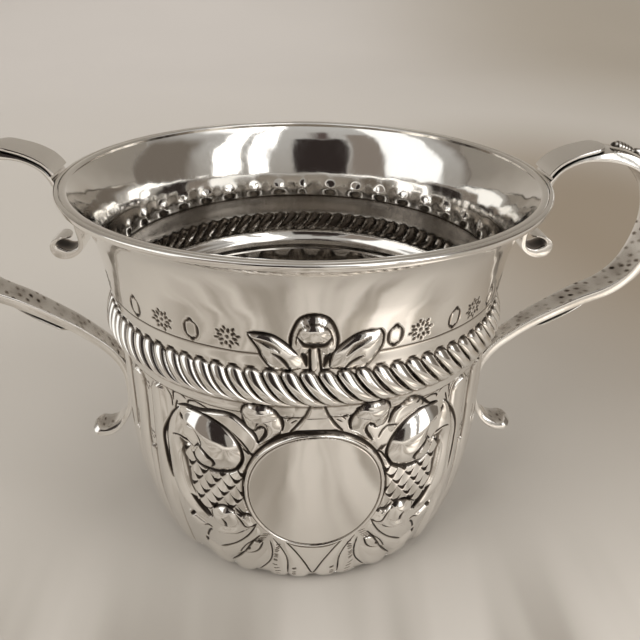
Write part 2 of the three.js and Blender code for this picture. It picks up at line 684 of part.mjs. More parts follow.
function thumbScroll() {
  const line = saddleLine();
  const steps = 13;
  const rings = [];
  for (let k = 0; k <= steps; k += 1) {
    const width = THREE.MathUtils.lerp(STRAP_WIDTH * 0.96, THUMB_SCROLL_WIDTH, (k / steps) ** 3);
    rings.push(section(line, k / steps, 0, width / 2, SADDLE_THICKNESS / 2));
  }
  return capped(rings);
}

function bead(at, radius) {
  const height = radius * BEAD_FLATNESS;
  const out = normalOf(LINE, at);
  const centre = LINE.getPointAt(at).addScaledVector(out, strapThickness(at) / 2 + GAP + height);
  const ball = new THREE.SphereGeometry(1, 6, 4);
  ball.rotateX(Math.PI / 2);
  ball.scale(radius, radius, height);
  ball.applyQuaternion(new THREE.Quaternion().setFromUnitVectors(new THREE.Vector3(0, 0, 1), out));
  ball.translate(centre.x, centre.y, centre.z);
  ball.deleteAttribute('normal');
  ball.deleteAttribute('uv');
  return toSolid(withoutSlivers(mergeVertices(ball, 1e-4)));
}

// Graduated beads on a thin spine, along the strap's back from the thumb scroll downwards
function beadTail() {
  const start = SWELL_AT + (THUMB_SCROLL_RADIUS * 5 + SADDLE_THICKNESS) / LENGTH;
  const spineHalf = 0.3;
  let travelled = 0;
  const beads = [];
  for (let k = 0; k < BEADS; k += 1) {
    const radius = THREE.MathUtils.lerp(FIRST_BEAD_RADIUS, LAST_BEAD_RADIUS, k / (BEADS - 1));
    travelled += radius;
    beads.push(bead(start + travelled / LENGTH, radius * 0.98));
    travelled += radius;
  }
  const rings = [];
  const steps = 12;
  for (let k = 0; k <= steps; k += 1) {
    const share = k / steps;
    const at = start + ((travelled + BEAD_TAIL_TIP) * share) / LENGTH;
    const half = THREE.MathUtils.lerp(FIRST_BEAD_RADIUS * 0.9, 0.25, share);
    rings.push(section(LINE, at, strapThickness(at) / 2 + GAP + spineHalf + 0.05, half, spineHalf));
  }
  return fromSolid(joined([toSolid(capped(rings)), ...beads]));
}

// A thin strip under the lower limb, seated at its lower end, with a free leaf-shaped tip
function spur() {
  const [out, down] = LOWER_LIMB[0];
  const seat = nearest(LINE, LOWER_SEAT_RADIUS + HANDLE_REACH * out, HEIGHT - LOWER_SEAT_DEPTH * down);
  const lift = (at, share) => strapThickness(at) / 2 + GAP + SPUR_THICKNESS / 2 + SPUR_SPRING * share;
  const rings = [];
  const steps = 8;
  for (let k = 0; k < steps; k += 1) {
    const share = k / steps;
    const at = seat - (SPUR_LENGTH * share) / LENGTH;
    const half = (SPUR_WIDTH / 2) * (1 - share ** 4);
    rings.push(section(LINE, at, lift(at, share), half, (SPUR_THICKNESS / 2) * (1 - share * 0.5)));
  }
  const tip = seat - SPUR_LENGTH / LENGTH;
  const tipPoint = LINE.getPointAt(tip).addScaledVector(normalOf(LINE, tip), lift(tip, 1));
  return loft(rings, centreOf(rings[0]), tipPoint);
}

function silverMesh(name, geometry) {
  const mesh = new THREE.Mesh(geometry, new THREE.MeshStandardMaterial(SILVER));
  mesh.name = name;
  return mesh;
}

function handle(side, turn) {
  const group = new THREE.Group();
  group.rotation.z = turn;
  group.add(silverMesh(`handle_strap_${side}`, handleStrap()));
  group.add(silverMesh(`thumb_scroll_${side}`, thumbScroll()));
  group.add(silverMesh(`bead_tail_${side}`, beadTail()));
  group.add(silverMesh(`spur_${side}`, spur()));
  return group;
}

const porringer = new THREE.Group();
porringer.add(silverMesh('cup_body', cupBody()));
porringer.add(silverMesh('rim_wire', rimWire()));
porringer.add(silverMesh('foot_ring', footRing()));
porringer.add(handle('right', 0));
porringer.add(handle('left', Math.PI));

export default porringer;
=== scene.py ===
# %% [markdown]
# # A chased silver porringer
# The real object is a two-handled cup that a silversmith raised from one sheet and chased with a rope
# girdle, a plain oval between scrolls, a leaf finial, punched stamps and lobes. Two strap handles are
# soldered on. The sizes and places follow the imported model. This lesson gives each piece its looks, in
# the order in which the smith makes them.

# %% Load the frame
import math
import bpy
import numpy as np
from mathutils import Matrix, Vector


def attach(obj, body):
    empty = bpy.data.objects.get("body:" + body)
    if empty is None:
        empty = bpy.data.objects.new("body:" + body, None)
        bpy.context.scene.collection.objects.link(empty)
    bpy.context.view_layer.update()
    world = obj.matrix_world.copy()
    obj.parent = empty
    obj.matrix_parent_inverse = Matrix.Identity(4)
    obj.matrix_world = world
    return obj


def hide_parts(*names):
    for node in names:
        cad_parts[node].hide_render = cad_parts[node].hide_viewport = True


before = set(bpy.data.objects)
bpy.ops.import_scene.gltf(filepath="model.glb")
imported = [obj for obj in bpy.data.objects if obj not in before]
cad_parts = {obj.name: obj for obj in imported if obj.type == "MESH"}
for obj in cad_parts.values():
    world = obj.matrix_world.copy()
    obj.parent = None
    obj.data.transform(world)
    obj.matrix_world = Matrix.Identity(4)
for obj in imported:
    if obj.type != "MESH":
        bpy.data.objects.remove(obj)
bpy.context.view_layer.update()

MM = 0.001
scene = bpy.context.scene
print("CAD nodes:", ", ".join(sorted(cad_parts)))

# %% [markdown]
# ## The camera
# The picture was taken from close by, a little over the rim and looking down into the cup. A camera has a
# place and a direction: yaw turns it, pitch tips it down and roll leans it. Its matrix is put together
# from three arrows, so that no operator depends on the picture's size.

# %% Camera
CAMERA_PLACE = (-4.97, -158.02, 133.55)
CAMERA_YAW = math.radians(3.22)
CAMERA_PITCH = math.radians(27.55)
CAMERA_ROLL = math.radians(1.02)
CAMERA_LENS = 39.375


def camera_turn(yaw, pitch, roll):
    """The turn of a camera that looks along +Y at zero, as three arrows in a matrix"""
    forward = Vector((math.sin(yaw) * math.cos(pitch), math.cos(yaw) * math.cos(pitch), -math.sin(pitch)))
    level = Vector((math.cos(yaw), -math.sin(yaw), 0))
    upright = level.cross(forward)
    right = math.cos(roll) * level + math.sin(roll) * upright
    up = math.cos(roll) * upright - math.sin(roll) * level
    return Matrix((right, up, -forward)).transposed()


bpy.ops.object.select_all(action="DESELECT")
bpy.ops.object.camera_add()
camera = bpy.context.object
camera.name = "camera"
camera.matrix_world = (Matrix.Translation(Vector(CAMERA_PLACE) * MM)
                       @ camera_turn(CAMERA_YAW, CAMERA_PITCH, CAMERA_ROLL).to_4x4())
camera.data.lens = CAMERA_LENS
camera.data.sensor_width = 36
camera.data.sensor_fit = "HORIZONTAL"
camera.data.clip_start = 0.01
scene.camera = camera
scene.view_settings.view_transform = "Standard"
print("camera at", [round(x, 4) for x in camera.location])

# %% [markdown]
# ## The table and the room
# Silver shows the room more than itself, so the room is half of its looks. The table is a plain pale sheet
# that sweeps up far behind. The room is painted into the world by direction: warm grey, lighter
# overhead, dark in the middle of the front, with tall windows beside it. Three soft lamps add to them.
# Panels set up round the cup would be mirrored in the same way. The world needs no mesh for that, a
# number moves each of its patches, and the camera can be shown a plain wall instead.

# %% Helpers for materials
def node(tree, kind, **values):
    """A shader node of a kind, with its settings"""
    made = tree.nodes.new("ShaderNode" + kind)
    for key, value in values.items():
        setattr(made, key, value)
    return made


def feed(tree, socket, source):
    """Gives a socket a value, or links it to another socket"""
    if isinstance(source, bpy.types.NodeSocket):
        tree.links.new(source, socket)
    else:
        socket.default_value = source


def maths(tree, operation, first, second=0.0, clamp=False):
    """One step of arithmetic on values or sockets"""
    made = node(tree, "Math", operation=operation, use_clamp=clamp)
    feed(tree, made.inputs[0], first)
    feed(tree, made.inputs[1], second)
    return made.outputs[0]


def product(tree, first, *others, clamp=False):
    """Values or sockets multiplied with each other"""
    for other in others:
        first = maths(tree, "MULTIPLY", first, other, clamp)
    return first


def blend_colour(tree, share, first, second, kind="MIX"):
    """Two colours blended by a share from 0 to 1"""
    made = node(tree, "Mix", data_type="RGBA", blend_type=kind)
    feed(tree, made.inputs["Factor"], share)
    feed(tree, made.inputs[6], first)
    feed(tree, made.inputs[7], second)
    return made.outputs[2]


def ramp(tree, value, low, high, to_low=0.0, to_high=1.0):
    """Maps a value from one range to another, softly at both ends"""
    made = node(tree, "MapRange", interpolation_type="SMOOTHSTEP")
    for socket, given in zip(made.inputs, (value, low, high, to_low, to_high)):
        feed(tree, socket, given)
    return made.outputs[0]


def named_inputs(tree, made, **values):
    """Gives a node the values or sockets for its inputs, each by name"""
    for name, given in values.items():
        feed(tree, made.inputs[name.replace("_", " ")], given)
    return made


def noise(tree, place, scale, detail=2.0, rough=0.5):
    """Soft random patches"""
    made = node(tree, "TexNoise")
    return named_inputs(tree, made, Vector=place, Scale=scale, Detail=detail, Roughness=rough).outputs["Fac"]


def stretched(tree, place, scale, turn=(0, 0, 0)):
    """Places scaled along each axis, which draws soft patches out into streaks"""
    return named_inputs(tree, node(tree, "Mapping"), Vector=place, Scale=scale, Rotation=turn).outputs[0]


def new_material(name):
    """A material, with its tree and the surface that it shows"""
    made = bpy.data.materials.new(name)
    made.use_nodes = True
    return made, made.node_tree, made.node_tree.nodes["Principled BSDF"]


# %% Table
TABLE_SIZE = 8
TABLE_BACK = 4           # how high the sheet stands up behind
TABLE_BEND = 1.2         # how far it takes to bend up
TABLE_COLOUR = (0.455, 0.42, 0.376)

bpy.ops.mesh.primitive_plane_add(size=TABLE_SIZE, location=(0, 0, 0))
table = bpy.context.object
table.name = "table"
for vertex in table.data.vertices:
    vertex.co.y -= TABLE_SIZE / 4
bpy.ops.object.mode_set(mode="EDIT")
bpy.ops.mesh.select_all(action="DESELECT")
bpy.ops.object.mode_set(mode="OBJECT")
back = max(vertex.co.y for vertex in table.data.vertices)
for edge in table.data.edges:
    edge.select = all(table.data.vertices[i].co.y > back - 0.01 for i in edge.vertices)
bpy.ops.object.mode_set(mode="EDIT")
bpy.ops.mesh.extrude_region_move(TRANSFORM_OT_translate={"value": (0, 0, TABLE_BACK)})
bpy.ops.object.mode_set(mode="OBJECT")
for edge in table.data.edges:
    ends = [table.data.vertices[i].co for i in edge.vertices]
    edge.select = all(end.y > back - 0.01 and end.z < 0.01 for end in ends)
bpy.ops.object.mode_set(mode="EDIT")
bpy.ops.mesh.bevel(offset=TABLE_BEND, segments=24)
bpy.ops.object.mode_set(mode="OBJECT")
bpy.ops.object.shade_smooth()
print("table faces:", len(table.data.polygons))

# %% Cloth
cloth, tree, matt = new_material("table_matt")
matt.inputs["Roughness"].default_value = 0.9
place = node(tree, "TexCoord").outputs["Object"]
dim, lit = (tuple(c * share for c in TABLE_COLOUR) + (1,) for share in (0.94, 1.05))
shade = blend_colour(tree, noise(tree, place, 3), dim, lit)
split = node(tree, "SeparateXYZ")
feed(tree, split.inputs[0], place)
at_x, at_y = split.outputs["X"], split.outputs["Y"]
# Painted light and shade of soft folds, on a cloth that is flat. The camera sees these folds close to the cup
# only. Farther off they show in the silver alone
not_camera = maths(tree, "SUBTRACT", 1.0, node(tree, "LightPath").outputs["Is Camera Ray"])
near = product(tree, ramp(tree, at_y, -0.012, -0.085), ramp(tree, at_y, -0.62, -0.28),
               maths(tree, "MAXIMUM", not_camera, ramp(tree, at_y, -0.24, -0.05)))
painted_fold_shade = ramp(tree, noise(tree, stretched(tree, place, (44, 5, 1)), 1), 0.38, 0.66)
painted_folds = blend_colour(tree, painted_fold_shade, (0.58, 0.56, 0.53, 1), (1.16, 1.16, 1.17, 1))
painted_folds = blend_colour(tree, near, (1, 1, 1, 1), painted_folds)
shade = blend_colour(tree, 1.0, shade, painted_folds, "MULTIPLY")
# Where the daylight is stronger or weaker on the cloth: place, reach along X and Y, colour to multiply
# by, and whether the camera sees it
TABLE_POOLS = [
    ((-0.25, 1.0), (0.75, 0.85), (1.27, 1.28, 1.33, 1), 1),
    ((0.55, 1.0), (0.5, 0.9), (0.8, 0.76, 0.7, 1), 1),
    ((0.19, 0.21), (0.2, 0.34), (0.53, 0.465, 0.385, 1), 1),
    ((0.115, -0.12), (0.095, 0.075), (2.7, 2.72, 2.76, 1), 0),
    ((0.2, -0.85), (0.9, 0.62), (2.0, 2.04, 2.1, 1), 0),
]
for (x, y), (reach_x, reach_y), tint, seen in TABLE_POOLS:
    across = maths(tree, "DIVIDE", maths(tree, "SUBTRACT", at_x, x), reach_x)
    along = maths(tree, "DIVIDE", maths(tree, "SUBTRACT", at_y, y), reach_y)
    squares = maths(tree, "ADD", product(tree, across, across), product(tree, along, along))
    share = ramp(tree, maths(tree, "SQRT", squares), 1.0, 0.15)
    share = share if seen else product(tree, share, not_camera)
    shade = blend_colour(tree, 1.0, shade, blend_colour(tree, share, (1, 1, 1, 1), tint), "MULTIPLY")
feed(tree, matt.inputs["Base Color"], shade)
table.data.materials.append(cloth)
print("cloth:", len(tree.nodes), "nodes")

# %% Room
# Each patch of the room in degrees: from and to azimuth, which is 0 in front of the cup and grows to the
# right, lowest and highest elevation, how soft its edges are, and its colour
ROOM_PATCHES = [
    ((-180, 180), (60, 100), 30, (0.55, 0.54, 0.52, 1)),
    ((66, 125), (-20, 58), 14, (0.17, 0.145, 0.12, 1)),
    ((-56, -31), (-20, 62), 3, (0.24, 0.205, 0.175, 1)),
    ((-96, -54), (-20, 88), 4, (1.25, 1.24, 1.2, 1)),
    ((-150, -104), (-20, 60), 12, (0.20, 0.175, 0.15, 1)),
    ((150, 215), (-10, 75), 20, (0.42, 0.385, 0.35, 1)),
    ((35, 100), (58, 92), 8, (1.7, 1.68, 1.64, 1)),
    ((21, 37), (-12, 86), 2.5, (2.1, 2.08, 2.04, 1)),
    ((41, 60), (-12, 86), 2.5, (2.3, 2.27, 2.2, 1)),
    ((-31, 8), (-25, 54), 3, (0.03, 0.023, 0.021, 1)),
    ((-26, -4), (50, 66), 5, (0.10, 0.075, 0.068, 1)),
]

world = bpy.data.worlds.new("room")
scene.world = world
world.use_nodes = True
tree = world.node_tree
split = node(tree, "SeparateXYZ")
feed(tree, split.inputs[0], node(tree, "TexCoord").outputs["Generated"])
in_front = product(tree, split.outputs["Y"], -1.0)
azimuth = product(tree, maths(tree, "ARCTAN2", split.outputs["X"], in_front), 180 / math.pi)
elevation = product(tree, maths(tree, "ARCSINE", split.outputs["Z"]), 180 / math.pi)
colour = blend_colour(tree, ramp(tree, split.outputs["Z"], -0.1, 0.9), (0.34, 0.315, 0.28, 1),
                      (0.46, 0.445, 0.42, 1))
for (left, right), (low, high), soft, patch in ROOM_PATCHES:
    share = product(tree, ramp(tree, azimuth, left, left + soft), ramp(tree, azimuth, right, right - soft),
                    ramp(tree, elevation, low, low + soft), ramp(tree, elevation, high, high - soft))
    colour = blend_colour(tree, share, colour, patch)
# The camera itself sees a plain wall, from whatever side it looks
PLAIN_WALL = (0.56, 0.53, 0.49, 1)
colour = blend_colour(tree, node(tree, "LightPath").outputs["Is Camera Ray"], colour, PLAIN_WALL)
feed(tree, tree.nodes["Background"].inputs["Color"], colour)

# Each lamp: place and target in metres, width and height in metres, and power in watts
LAMPS = {
    "window_left": ((-0.95, -0.75, 0.95), (0, 0, 0.05), (0.8, 0.9), 11.5),
    "window_right": ((1.05, -0.45, 0.85), (0, 0, 0.05), (0.6, 0.8), 5.5),
    "ceiling": ((0.1, 0.35, 1.5), (0, 0, 0), (1.1, 1.1), 6),
}
for name, (spot, target, (width, height), power) in LAMPS.items():
    bpy.ops.object.light_add(type="AREA", location=spot)
    lamp = bpy.context.object
    lamp.name = name
    lamp.rotation_euler = (Vector(target) - Vector(spot)).to_track_quat("-Z", "Y").to_euler()
    lamp.data.shape = "RECTANGLE"
    lamp.data.size, lamp.data.size_y = width, height
    lamp.data.energy = power
    lamp.visible_glossy = False
print("lamps:", ", ".join(LAMPS))

# %% [markdown]
# ## Silver, its tarnish and painted shade
# Polished silver is bright and a little warm. Old tarnish stays dark in every chased line, and fine
# scratches and the hammer's planishing keep the mirror from being perfect. Shade is painted in as well:
# under the scales' edges and the leaves' folds, along the top of the oval's border, on the strands' flanks,
# inside the bowl, in the handles' curls and in the gaps between the parts. Tarnish and painted shade come
# from one node group. It reads how dark a point is from the "recess" value that each piece carries, and
# gives out colour, roughness and height, so every silver material shares it. Blender can also guess hollows
# from a mesh's pointiness, but that changes with how fine the mesh is, so the recess is worked out
# together with the shape.

# %% Tarnish and painted shade group
def silver_group():
    """Colour, roughness and height of aged silver, from how dark its tarnish and painted shade make a point
    """
    group = bpy.data.node_groups.new("silver_tarnish_and_shade", "ShaderNodeTree")
    for name, way, kind in (("Recess", "INPUT", "Float"), ("Satin", "INPUT", "Float"),
                            ("Color", "OUTPUT", "Color"), ("Roughness", "OUTPUT", "Float"),
                            ("Height", "OUTPUT", "Float")):
        group.interface.new_socket(name=name, in_out=way, socket_type="NodeSocket" + kind)
    given = group.nodes.new("NodeGroupInput").outputs
    put_out = group.nodes.new("NodeGroupOutput").inputs
    place = node(group, "TexCoord").outputs["Object"]
    clouds = noise(group, place, 85, 3)
    pits = noise(group, place, 900, 4)
    hairs = noise(group, stretched(group, place, (900, 1100, 90), (0.3, 0.5, 0.2)), 1, 5, 0.7)
    depth = product(group, given["Recess"], ramp(group, clouds, 0.3, 0.7, 0.82, 1.0), clamp=True)
    bright = blend_colour(group, clouds, (0.86, 0.835, 0.80, 1), (0.90, 0.885, 0.86, 1))
    film = blend_colour(group, ramp(group, depth, 0.04, 0.5), bright, (0.33, 0.29, 0.25, 1))
    dark = blend_colour(group, ramp(group, depth, 0.35, 0.95), film, (0.035, 0.028, 0.024, 1))
    worn = ramp(group, hairs, 0.35, 0.75, 0.06, 0.135)
    rough = maths(group, "ADD", worn, product(group, depth, 0.30))
    rough = maths(group, "ADD", rough, product(group, given["Satin"], 0.22))
    pitted = product(group, pits, maths(group, "ADD", 0.003, product(group, given["Satin"], 0.05)))
    scratched = maths(group, "ADD", product(group, hairs, 0.0022), pitted)
    height = maths(group, "ADD", product(group, clouds, 0.055), scratched)
    for name, source in (("Color", dark), ("Roughness", rough), ("Height", height)):
        feed(group, put_out[name], source)
    return group


SILVER_GROUP = silver_group()


def silver(name, satin=0.0):
    """A silver material. Satin is from 0, polished, to 1, pitted and matt"""
    material, tree, surface = new_material(name)
    recess = node(tree, "Attribute", attribute_name="recess", attribute_type="GEOMETRY")
    aged_and_shaded = named_inputs(tree, node(tree, "Group", node_tree=SILVER_GROUP), Recess=recess.outputs["Fac"],
                       Satin=satin).outputs
    bump = named_inputs(tree, node(tree, "Bump"), Strength=1, Distance=MM, Height=aged_and_shaded["Height"])
    named_inputs(tree, surface, Metallic=1, Base_Color=aged_and_shaded["Color"], Roughness=aged_and_shaded["Roughness"],
                 Normal=bump.outputs["Normal"])
    return material


CUP_SILVER = silver("chased_silver")
STRAP_SILVER = silver("strap_silver", satin=0.25)
print("materials:", CUP_SILVER.name, STRAP_SILVER.name)

# %% [markdown]
# ## The bowl's wall
# The bowl is one sheet, raised with a hammer, so its outside is one smooth line turned round the axis:
# rounded base, upright body, a flare like a trumpet's bell. The line keeps close to the CAD model's, with
# a fuller flare. A finished bowl needs far more faces than the CAD one, because every chased line is real
# here. A spin of the line would make a plain bowl quickly. Here each zone of the wall is a grid, as a
# sheet of metal, that is rolled up round the axis and closed at its edges, because each zone needs rows
# and columns of its own fineness. The zones meet in chased lines, where no join shows.

# %% Wall line
HEIGHT = 89.5
WALL = 0.9
WALL_LINE = [
    (1.4, 36.8), (2.6, 38.0), (4.9, 39.2), (9.5, 40.6), (13.5, 41.7), (21.5, 43.3), (31.4, 44.0),
    (50.0, 44.1), (52.2, 44.35), (53.1, 44.9), (56.0, 45.2), (60.25, 45.4), (64.5, 45.75), (67.5, 46.25),
    (75.5, 47.3), (80.0, 48.5), (83.5, 49.9), (86.5, 51.9), (88.66, 53.9),
]


def through(points):
    """A smooth line through points, as a function"""
    x, y = (np.array(values, float) for values in zip(*points))
    slope = np.empty_like(y)
    slope[1:-1] = (y[2:] - y[:-2]) / (x[2:] - x[:-2])
    slope[0] = (y[1] - y[0]) / (x[1] - x[0])
    slope[-1] = (y[-1] - y[-2]) / (x[-1] - x[-2])

    def value(at):
        at = np.clip(at, x[0], x[-1])
        i = np.clip(np.searchsorted(x, at) - 1, 0, len(x) - 2)
        span = x[i + 1] - x[i]
        t = (at - x[i]) / span
        rise = t * t * (3 - 2 * t)
        return (y[i] + (y[i + 1] - y[i]) * rise + t * (1 - t) ** 2 * slope[i] * span
                + t * t * (t - 1) * slope[i + 1] * span)
    return value


wall_radius = through(WALL_LINE)
print("rim radius", round(float(wall_radius(88.66)), 2), "body radius", round(float(wall_radius(30)), 2))

# %% [markdown]
# ## A sheet to chase
# The chasing is worked out on the sheet as if it were flat: a turn in degrees round the cup and a depth in
# millimetres below the rim. Each mark moves the points near it. What is pushed out from the inside shows
# on both faces. What is cut with a tracer shows outside only and gathers tarnish. A displacement texture
# would need a picture of the chasing, while a mark that is a few points can be read and moved by hand.

# %% Shares
SCRIBED = 1.8            # degrees from the front to the scribed line that turns are counted from
MIDDLE = 3.3             # turn of the ornament's middle
BODY_DEGREE = 0.767      # millimetres that a degree takes on the body
LEAST_DEGREE = 0.62      # and where the sheet is narrowest
EVERYWHERE = slice(None)
MARKS = []


def grows(value, start, length):
    """A share that grows from 0 at a start to 1 over a length, which is negative to grow backwards"""
    return np.clip((value - start) / length, 0, 1)


def swells(value, middle, reach):
    """A share that is 1 in the middle and dies away on both sides"""
    return np.exp(-((value - middle) / reach) ** 2)


def domed(gap, half, power=1.0):
    """A share that is 1 on a line and falls to 0 at half its width"""
    return np.clip(1 - (gap / half) ** 2, 0, 1) ** power


# %% Sheet
class Sheet:
    """Points of the sheet, with what each mark does to them"""

    def __init__(self, turn, depth, radius, outer):
        self.turn, self.depth, self.outer = turn, depth, outer
        self.degree = radius * math.radians(1)
        self.form, self.line, self.recess, self.back = np.zeros((4, len(turn)))

    def lift(self, pick, height, over=False):
        """Pushes points out to a height, or by it where it lies over other work"""
        under = self.form[pick]
        self.form[pick] = under + height if over else np.maximum(under, height)

    def cut(self, pick, deep):
        """Cuts points down, unless they are deeper already"""
        self.line[pick] = np.minimum(self.line[pick], -deep)

    # Darkening serves both: tarnish in the chased lines and punch marks, and painted shade, such as under the
    # scales' edges and on the strands' flanks
    def stain(self, pick, dark):
        """Darkens points, unless they are darker already"""
        self.recess[pick] = np.maximum(self.recess[pick], dark)


# %% Lines on the sheet
def count_marks(step):
    """Prints how many marks there are after a step"""
    print(f"marks after the {step}: {len(MARKS)}")


def curve(points, closed=False, parts=6):
    """A smooth line through points. A point given twice is a corner"""
    p = np.array(points, float)
    n = len(p)
    ends = [(i - 1, i, i + 1, i + 2) for i in range(n if closed else n - 1)]
    made = []
    for quad in ends:
        a, b, c, d = (p[i % n] if closed else p[min(max(i, 0), n - 1)] for i in quad)
        if np.allclose(b, c):
            continue
        for k in range(parts):
            t = k / parts
            made.append(0.5 * (2 * b + (c - a) * t + (2 * a - 5 * b + 4 * c - d) * t * t
                               + (3 * b - a - 3 * c + d) * t ** 3))
    made.append(made[0] if closed else p[-1])
    return np.array(made)


def in_box(sheet, low, high, wide=0.0, tall=0.0):
    """Which points lie in a box of turns and depths, or not farther outside it than given"""
    return np.flatnonzero((sheet.turn > low[0] - wide) & (sheet.turn < high[0] + wide)
                          & (sheet.depth > low[1] - tall) & (sheet.depth < high[1] + tall))


def close_to(sheet, line, reach):
    """Which points lie within reach of a line, how far off, and how far along it"""
    pick = in_box(sheet, line.min(0), line.max(0), reach / LEAST_DEGREE, reach)
    turn, depth, degree = sheet.turn[pick], sheet.depth[pick], sheet.degree[pick]
    gap = np.full(len(pick), 99.0)
    along = np.zeros(len(pick))
    last = len(line) - 1
    for k in range(last if len(pick) else 0):
        a, b = line[k], line[k + 1]
        ux, uy = (b[0] - a[0]) * degree, b[1] - a[1]
        px, py = (turn - a[0]) * degree, depth - a[1]
        t = np.clip((px * ux + py * uy) / (ux * ux + uy * uy + 1e-9), 0, 1)
        distance = np.hypot(px - t * ux, py - t * uy)
        nearer = distance < gap
        gap[nearer] = distance[nearer]
        along[nearer] = (k + t[nearer]) / last
    return pick, gap, along


def inside(sheet, pick, line):
    """Which of the picked points lie inside a closed line"""
    turn, depth = sheet.turn[pick], sheet.depth[pick]
    odd = np.zeros(len(pick), bool)
    for a, b in zip(line[:-1], line[1:]):
        crosses = (a[1] > depth) != (b[1] > depth)
        with np.errstate(divide="ignore", invalid="ignore"):
            at = a[0] + (depth - a[1]) * (b[0] - a[0]) / (b[1] - a[1])
        odd ^= crosses & (turn < at)
    return odd


# %% Tracer and punches
TRACER = 1.25     # how much wider the worn lines are than the tracer that cut them


def pen(share, ends):
    """How wide a tracer's line is along its length: it tapers towards its ends"""
    if not ends:
        return np.ones_like(share)
    return np.clip(np.minimum(share, 1 - share) / ends, 0, 1) ** 0.6


def traced(points, width=0.5, deep=0.22, ends=0.15, stain=1.0, closed=False):
    """A line cut with the tracer, darker the deeper it is"""
    line = curve(points, closed)

    def work(sheet):
        pick, gap, along = close_to(sheet, line, width)
        press = domed(gap, TRACER / 2 * width * pen(along, 0 if closed else ends) + 1e-6, 1.5)
        sheet.cut(pick, deep * press)
        sheet.stain(pick, stain * np.clip(press * 1.5, 0, 1))
    MARKS.append(work)


def ridge(points, width, height, ends=0.15, closed=False):
    """A thin raised line"""
    line = curve(points, closed)

    def work(sheet):
        pick, gap, along = close_to(sheet, line, width)
        half = width / 2 * pen(along, 0 if closed else ends) + 1e-6
        sheet.form[pick] += height * domed(gap, half, 1.2)
    MARKS.append(work)


def raised(points, height, edge, corners=False, over=False, cap=False):
    """A form pushed out from inside and rounded over from its outline, like a pillow or a ball's cap"""
    line = np.array([*points, points[0]], float) if corners else curve(points, closed=True)

    def work(sheet):
        pick, gap, _ = close_to(sheet, line, edge)
        within = inside(sheet, pick, line)
        rise = np.clip(gap[within] / edge, 0, 1)
        sheet.lift(pick[within], height * (1 - (1 - rise) ** 2 if cap else np.sin(rise * math.pi / 2)), over)
    MARKS.append(work)


def boss(centre, half_turn, half_depth, height):
    """A round boss pushed out from inside, over other work"""
    def work(sheet):
        across = (sheet.turn - centre[0]) * sheet.degree / (half_turn * BODY_DEGREE)
        r2 = across ** 2 + ((sheet.depth - centre[1]) / half_depth) ** 2
        pick = np.flatnonzero(r2 < 1)
        sheet.lift(pick, height * (1 - r2[pick]) ** 0.62, over=True)
    MARKS.append(work)


# %% Mirror images
def mirrored(points):
    """The same points on the other side of the ornament's middle"""
    return [(2 * MIDDLE - turn, depth) for turn, depth in points]


def both(mark, points, *values, **settings):
    """A mark on the left, and its mirror image on the right"""
    mark(points, *values, **settings)
    mark(mirrored(points), *values, **settings)


def pairs(mark, *rows):
    """Marks of one kind on the left, each row its points and values, with their mirror images"""
    for points, *values in rows:
        both(mark, points, *values)


def oval(half_turn, half_depth, centre=(MIDDLE, 57.2), count=36):
    """Points round an oval"""
    angles = [math.tau * k / count for k in range(count)]
    return [(centre[0] + half_turn * math.cos(a), centre[1] + half_depth * math.sin(a)) for a in angles]


# %% [markdown]
# ## The cartouche
# The plain oval was left for an owner's initials and is polished. A raised border runs round it between
# two traced lines. A pointed panel stands over it and a longer one hangs under it. An inset could raise
# the border only where faces follow the oval, and marks need no edge of the mesh to follow.

# %% Cartouche
raised(oval(20.1, 16.2), 0.45, 0.7)
ridge(oval(19.5, 15.75), 0.95, 0.3, closed=True)
traced(oval(20.45, 16.55), 0.5, 0.24, closed=True, stain=0.85)
# Along the upper arc the outer line is cut wider and darker: a real line with painted shadow of the raised
# border
traced(oval(20.5, 16.6)[20:35], 0.95, 0.3, ends=0.25)
traced(oval(18.75, 15.15), 0.34, 0.14, closed=True, stain=0.7)
traced([(-9.5, 44.2), (-6.5, 42.3), (-2, 41.2), (3, 40.9), (8, 41.2), (11, 42)], 1.05, 0.3)
UPPER_PANEL = [(1.6, 33.5), (0.5, 36), (-1.2, 38.6), (-3.8, 41.2)]
both(traced, UPPER_PANEL, 0.6, 0.25, ends=0.08)
raised(UPPER_PANEL[:3] + [(-3, 40.6), (9.6, 40.6)] + mirrored(UPPER_PANEL[:3])[::-1], 0.35, 0.7, corners=True)
LOWER_PANEL = [(-5.2, 72.3), (-2.2, 76.3), (0.6, 81), (3.1, 86.2)]
both(traced, LOWER_PANEL, 0.5, 0.24, ends=0.05)
raised(LOWER_PANEL + mirrored(LOWER_PANEL)[::-1][1:], 0.4, 1.6, corners=True)
count_marks("cartouche")

# %% [markdown]
# ## Scrolls, scales and leaves
# On each side a large scroll turns in on itself over a panel of overlapping scales, with a comma-shaped
# boss over it, a small scroll and long leaves below. The left side was drawn first. The right side is its
# mirror image, with a few lines that the hand made differently. A Mirror modifier would copy the whole
# mesh. Here the points of each mark are mirrored, so that a line can still stand on one side alone.

# %% Bosses and scrolls
COMMA = [(-16.6, 37.6), (-15.6, 35.2), (-13.6, 34), (-11.2, 33.7), (-8.6, 34.4), (-6.6, 36.3), (-5.5, 38.8),
         (-5.7, 40.9), (-7.5, 42.3), (-10, 43.8), (-12.6, 45.3), (-12.3, 44), (-10.8, 42.4), (-10.2, 41),
         (-10.8, 40.1), (-12, 40.4), (-13, 41.3), (-14.8, 40.9), (-16.1, 39.6)]
both(raised, COMMA, 1.9, 4.2, cap=True)
pairs(traced, (COMMA[:8], 0.75, 0.3), (COMMA[12:] + COMMA[:1], 0.55, 0.25),
      ([(-12, 40.9), (-10.9, 40.1), (-10, 41), (-10.4, 42.3), (-12.2, 44.3)], 0.8, 0.3))

